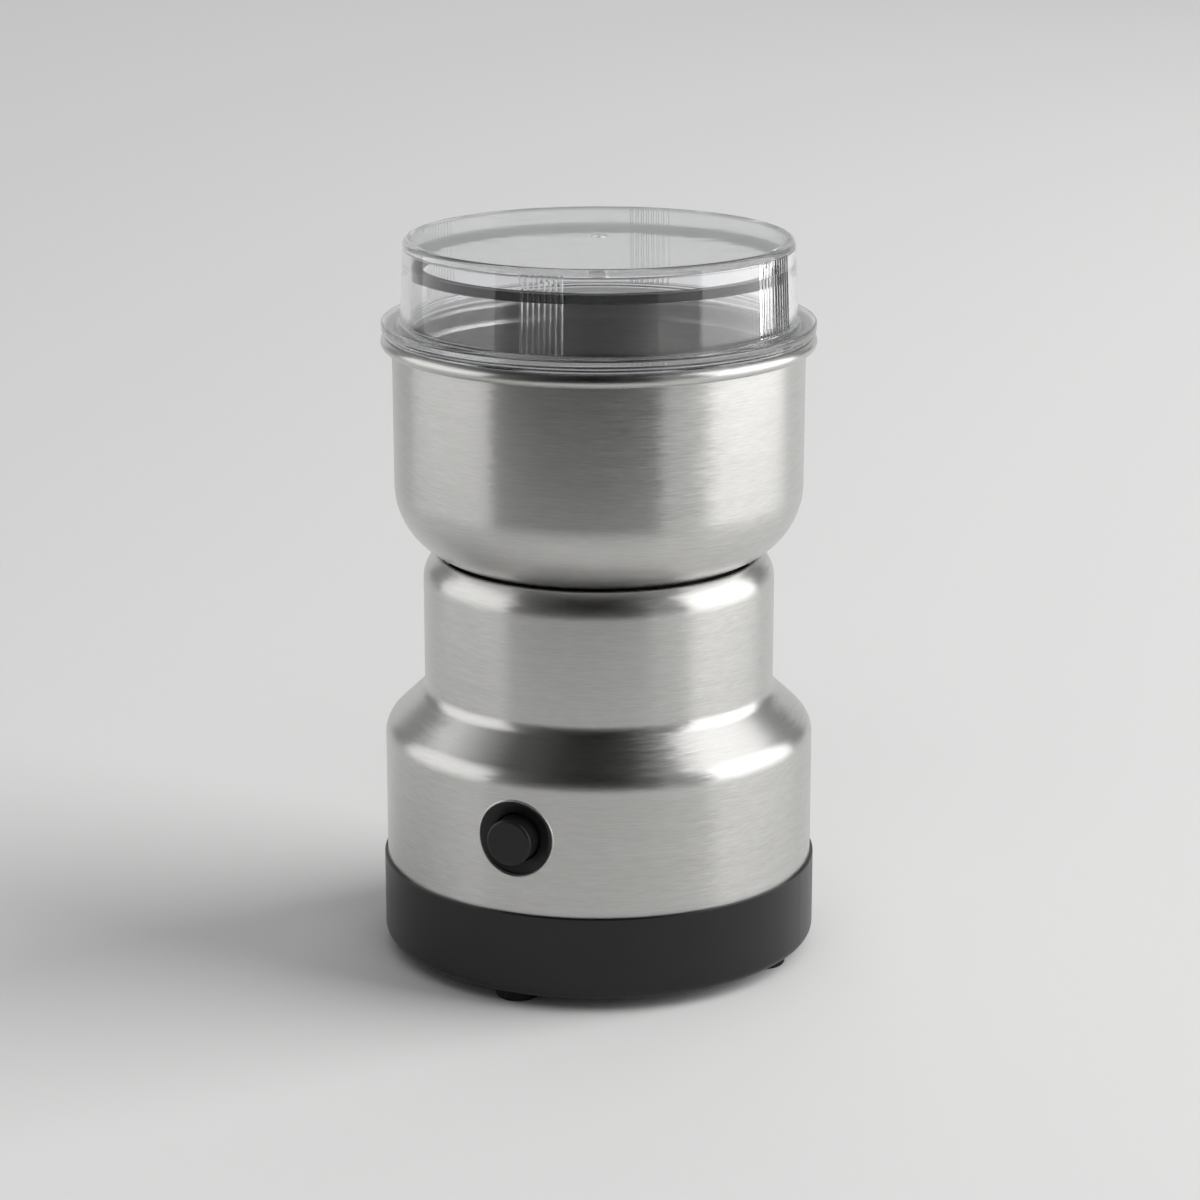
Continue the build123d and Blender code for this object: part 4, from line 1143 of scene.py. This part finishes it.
@dataclass
class Studio:
    """Pale floor, soft light from both sides, dark cloths in front and above, and the camera.

    Distances are in metres. Turns are measured from the camera's side of the object, towards its right.
    """

    camera_turn: float = 22.2
    camera_drop: float = 15.43
    camera_reach: float = 0.76904
    camera_height: float = 0.29395
    lens: float = 104.18
    shift: float = 0.0009
    floor_rings: tuple[float, ...] = (0.0, 0.1, 0.3, 0.6, 1.2, 2.4, 12.0)
    floor_columns: int = 128
    cloth_reach: float = 0.25
    cloth_start: float = -56.0
    cloth_step: float = 3.0
    cloth_columns: int = 30
    cloth_heights: tuple[float, float, float] = (0.05, 0.15, 0.6)
    top_cloth_sides: tuple[float, float] = (-0.75, 0.3)
    top_cloth_depths: tuple[float, float] = (-0.4, 0.75)
    top_cloth_height: float = 1.0
    world: str = "909191"
    bounces: int = 32

    def spot(self, turn: float, reach: float, height: float) -> Vector:
        """A place in the studio.

        Args:
            turn: Angle from the camera, in degrees.
            reach: Distance from the axis.
            height: Height over the floor.

        Returns:
            The place.
        """
        angle = radians(self.camera_turn + turn)
        return Vector((sin(angle) * reach, -cos(angle) * reach, height))

    def softbox(self, lamp: Lamp) -> None:
        """Adds a softbox.

        Args:
            lamp: What it is like.
        """
        light = bpy.data.lights.new(lamp.name, "AREA")
        light.shape, light.size, light.size_y = "RECTANGLE", *lamp.size
        light.energy = lamp.radiance * pi * lamp.size[0] * lamp.size[1]
        box = bpy.data.objects.new(lamp.name, light)
        box.location = self.spot(lamp.turn, lamp.reach, lamp.height)
        aim = self.spot(lamp.turn, *(lamp.aim or (0.0, lamp.height)))
        box.rotation_euler = (aim - box.location).to_track_quat("-Z", "Y").to_euler()
        box.visible_camera, box.visible_diffuse = False, lamp.duty is Duty.LIGHT
        box.visible_glossy, box.visible_transmission = lamp.duty is not Duty.LIGHT, lamp.duty is Duty.SEEN
        bpy.context.scene.collection.objects.link(box)
        log.info("%s: radiance %.2f, %s", lamp.name, lamp.radiance, lamp.duty.value)

    def flag(self, name: str, corners: Sequence[Sequence[Vector]], tones: Sequence[tuple[float, str]],
             through: bool = True) -> None:
        """Adds a dark cloth that only the steel and the lid mirror, and whose face glows with painted light.

        Args:
            name: Its name.
            corners: Its points, row by row, as seen with the camera in front.
            tones: Tones of its painted glow.
            through: True where it also shows through the clear lid.
        """
        width = len(corners[0])
        faces = [(row * width + at, row * width + at + 1, (row + 1) * width + at + 1, (row + 1) * width + at)
                 for row in range(len(corners) - 1) for at in range(width - 1)]
        cloth = new_piece(name, [point for row in corners for point in row], faces)
        cloth.rotation_euler.z = radians(self.camera_turn)
        recipe = Recipe(name, {"Specular IOR Level": 0.0, "Emission Strength": 1.0})
        across = recipe.add("MapRange", {"From Min": -TONE_REACH, "From Max": TONE_REACH},
                            {0: recipe.apart.outputs["X"]})
        glow = recipe.add("ValToRGB", {"tones": tones}, {0: across})
        weave = recipe.marks(3.0)
        cloth.data.materials.append(recipe.paint(weave, [(0.3, "040404"), (0.7, "050505")], (0.9, 1.0), 0.0))
        # Painted light: the cloth glows in these tones though it is no lamp.
        recipe.feed("Emission Color", glow)
        cloth.visible_camera = cloth.visible_diffuse = cloth.visible_shadow = False
        cloth.visible_transmission = through

    def build_floor(self) -> None:
        """Builds the floor as a wide disc of paper."""
        rings = [Vector((reach / MILLIMETRE, 0)) for reach in self.floor_rings]
        floor = turned("floor", rings, closed=False, angles=even_angles(self.floor_columns))
        floor.data.materials.append(PaperSweep().make())

    def build_flags(self) -> None:
        """Hangs a curved cloth in front, whose low part doesn't show through the lid, and a flat one above."""
        turns = [radians(self.cloth_start + self.cloth_step * column) for column in range(self.cloth_columns)]
        foot, split, top = [
            [Vector((self.cloth_reach * sin(turn), -self.cloth_reach * cos(turn), height)) for turn in turns]
            for height in self.cloth_heights]
        self.flag("front_flag_low", [foot, split], FRONT_CLOTH_GLOW, through=False)
        self.flag("front_flag_high", [split, top], FRONT_CLOTH_GLOW)
        self.flag("top_flag", [[Vector((side, -near, self.top_cloth_height)) for side in self.top_cloth_sides]
                               for near in self.top_cloth_depths], TOP_CLOTH_GLOW)

    def build_light(self) -> None:
        """Builds the lamps, the flags and the even light all round."""
        for lamp in LAMPS:
            self.softbox(lamp)
        self.build_flags()
        sky = bpy.data.worlds.new("even_light")
        sky.use_nodes = True
        sky.node_tree.nodes["Background"].inputs["Color"].default_value = linear(self.world)
        bpy.context.scene.world = sky

    def build_camera(self) -> None:
        """Places the camera at the photograph's height and angle."""
        data = bpy.data.cameras.new("camera")
        data.lens, data.shift_x = self.lens, self.shift
        camera = bpy.data.objects.new("camera", data)
        camera.location = self.spot(0, self.camera_reach, self.camera_height)
        camera.rotation_euler = (radians(90 - self.camera_drop), 0, radians(self.camera_turn))
        bpy.context.scene.collection.objects.link(camera)
        bpy.context.scene.camera = camera

    def build(self) -> None:
        """Builds the whole studio."""
        self.build_floor()
        self.build_light()
        self.build_camera()
        bpy.context.scene.view_settings.view_transform = "Standard"
        # Light that enters the ribs and rims of the clear lid is mirrored many times between its faces.
        cycles = bpy.context.scene.cycles
        cycles.max_bounces = cycles.glossy_bounces = cycles.transmission_bounces = self.bounces


def write_sizes() -> None:
    """Brings the objects' boxes up to date."""
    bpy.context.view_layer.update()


def main() -> None:
    """Builds the studio and then each sub-assembly."""
    logging.basicConfig(level=logging.INFO, format="%(message)s")
    for part in (Studio(), SteelHousing(), SteelBowl(), ClearLid(), BlackBase(), PushButton(), Blades(), Motor()):
        part.build()
        log.info("%s built", type(part).__name__)
    write_sizes()


if __name__ == "__main__":
    main()
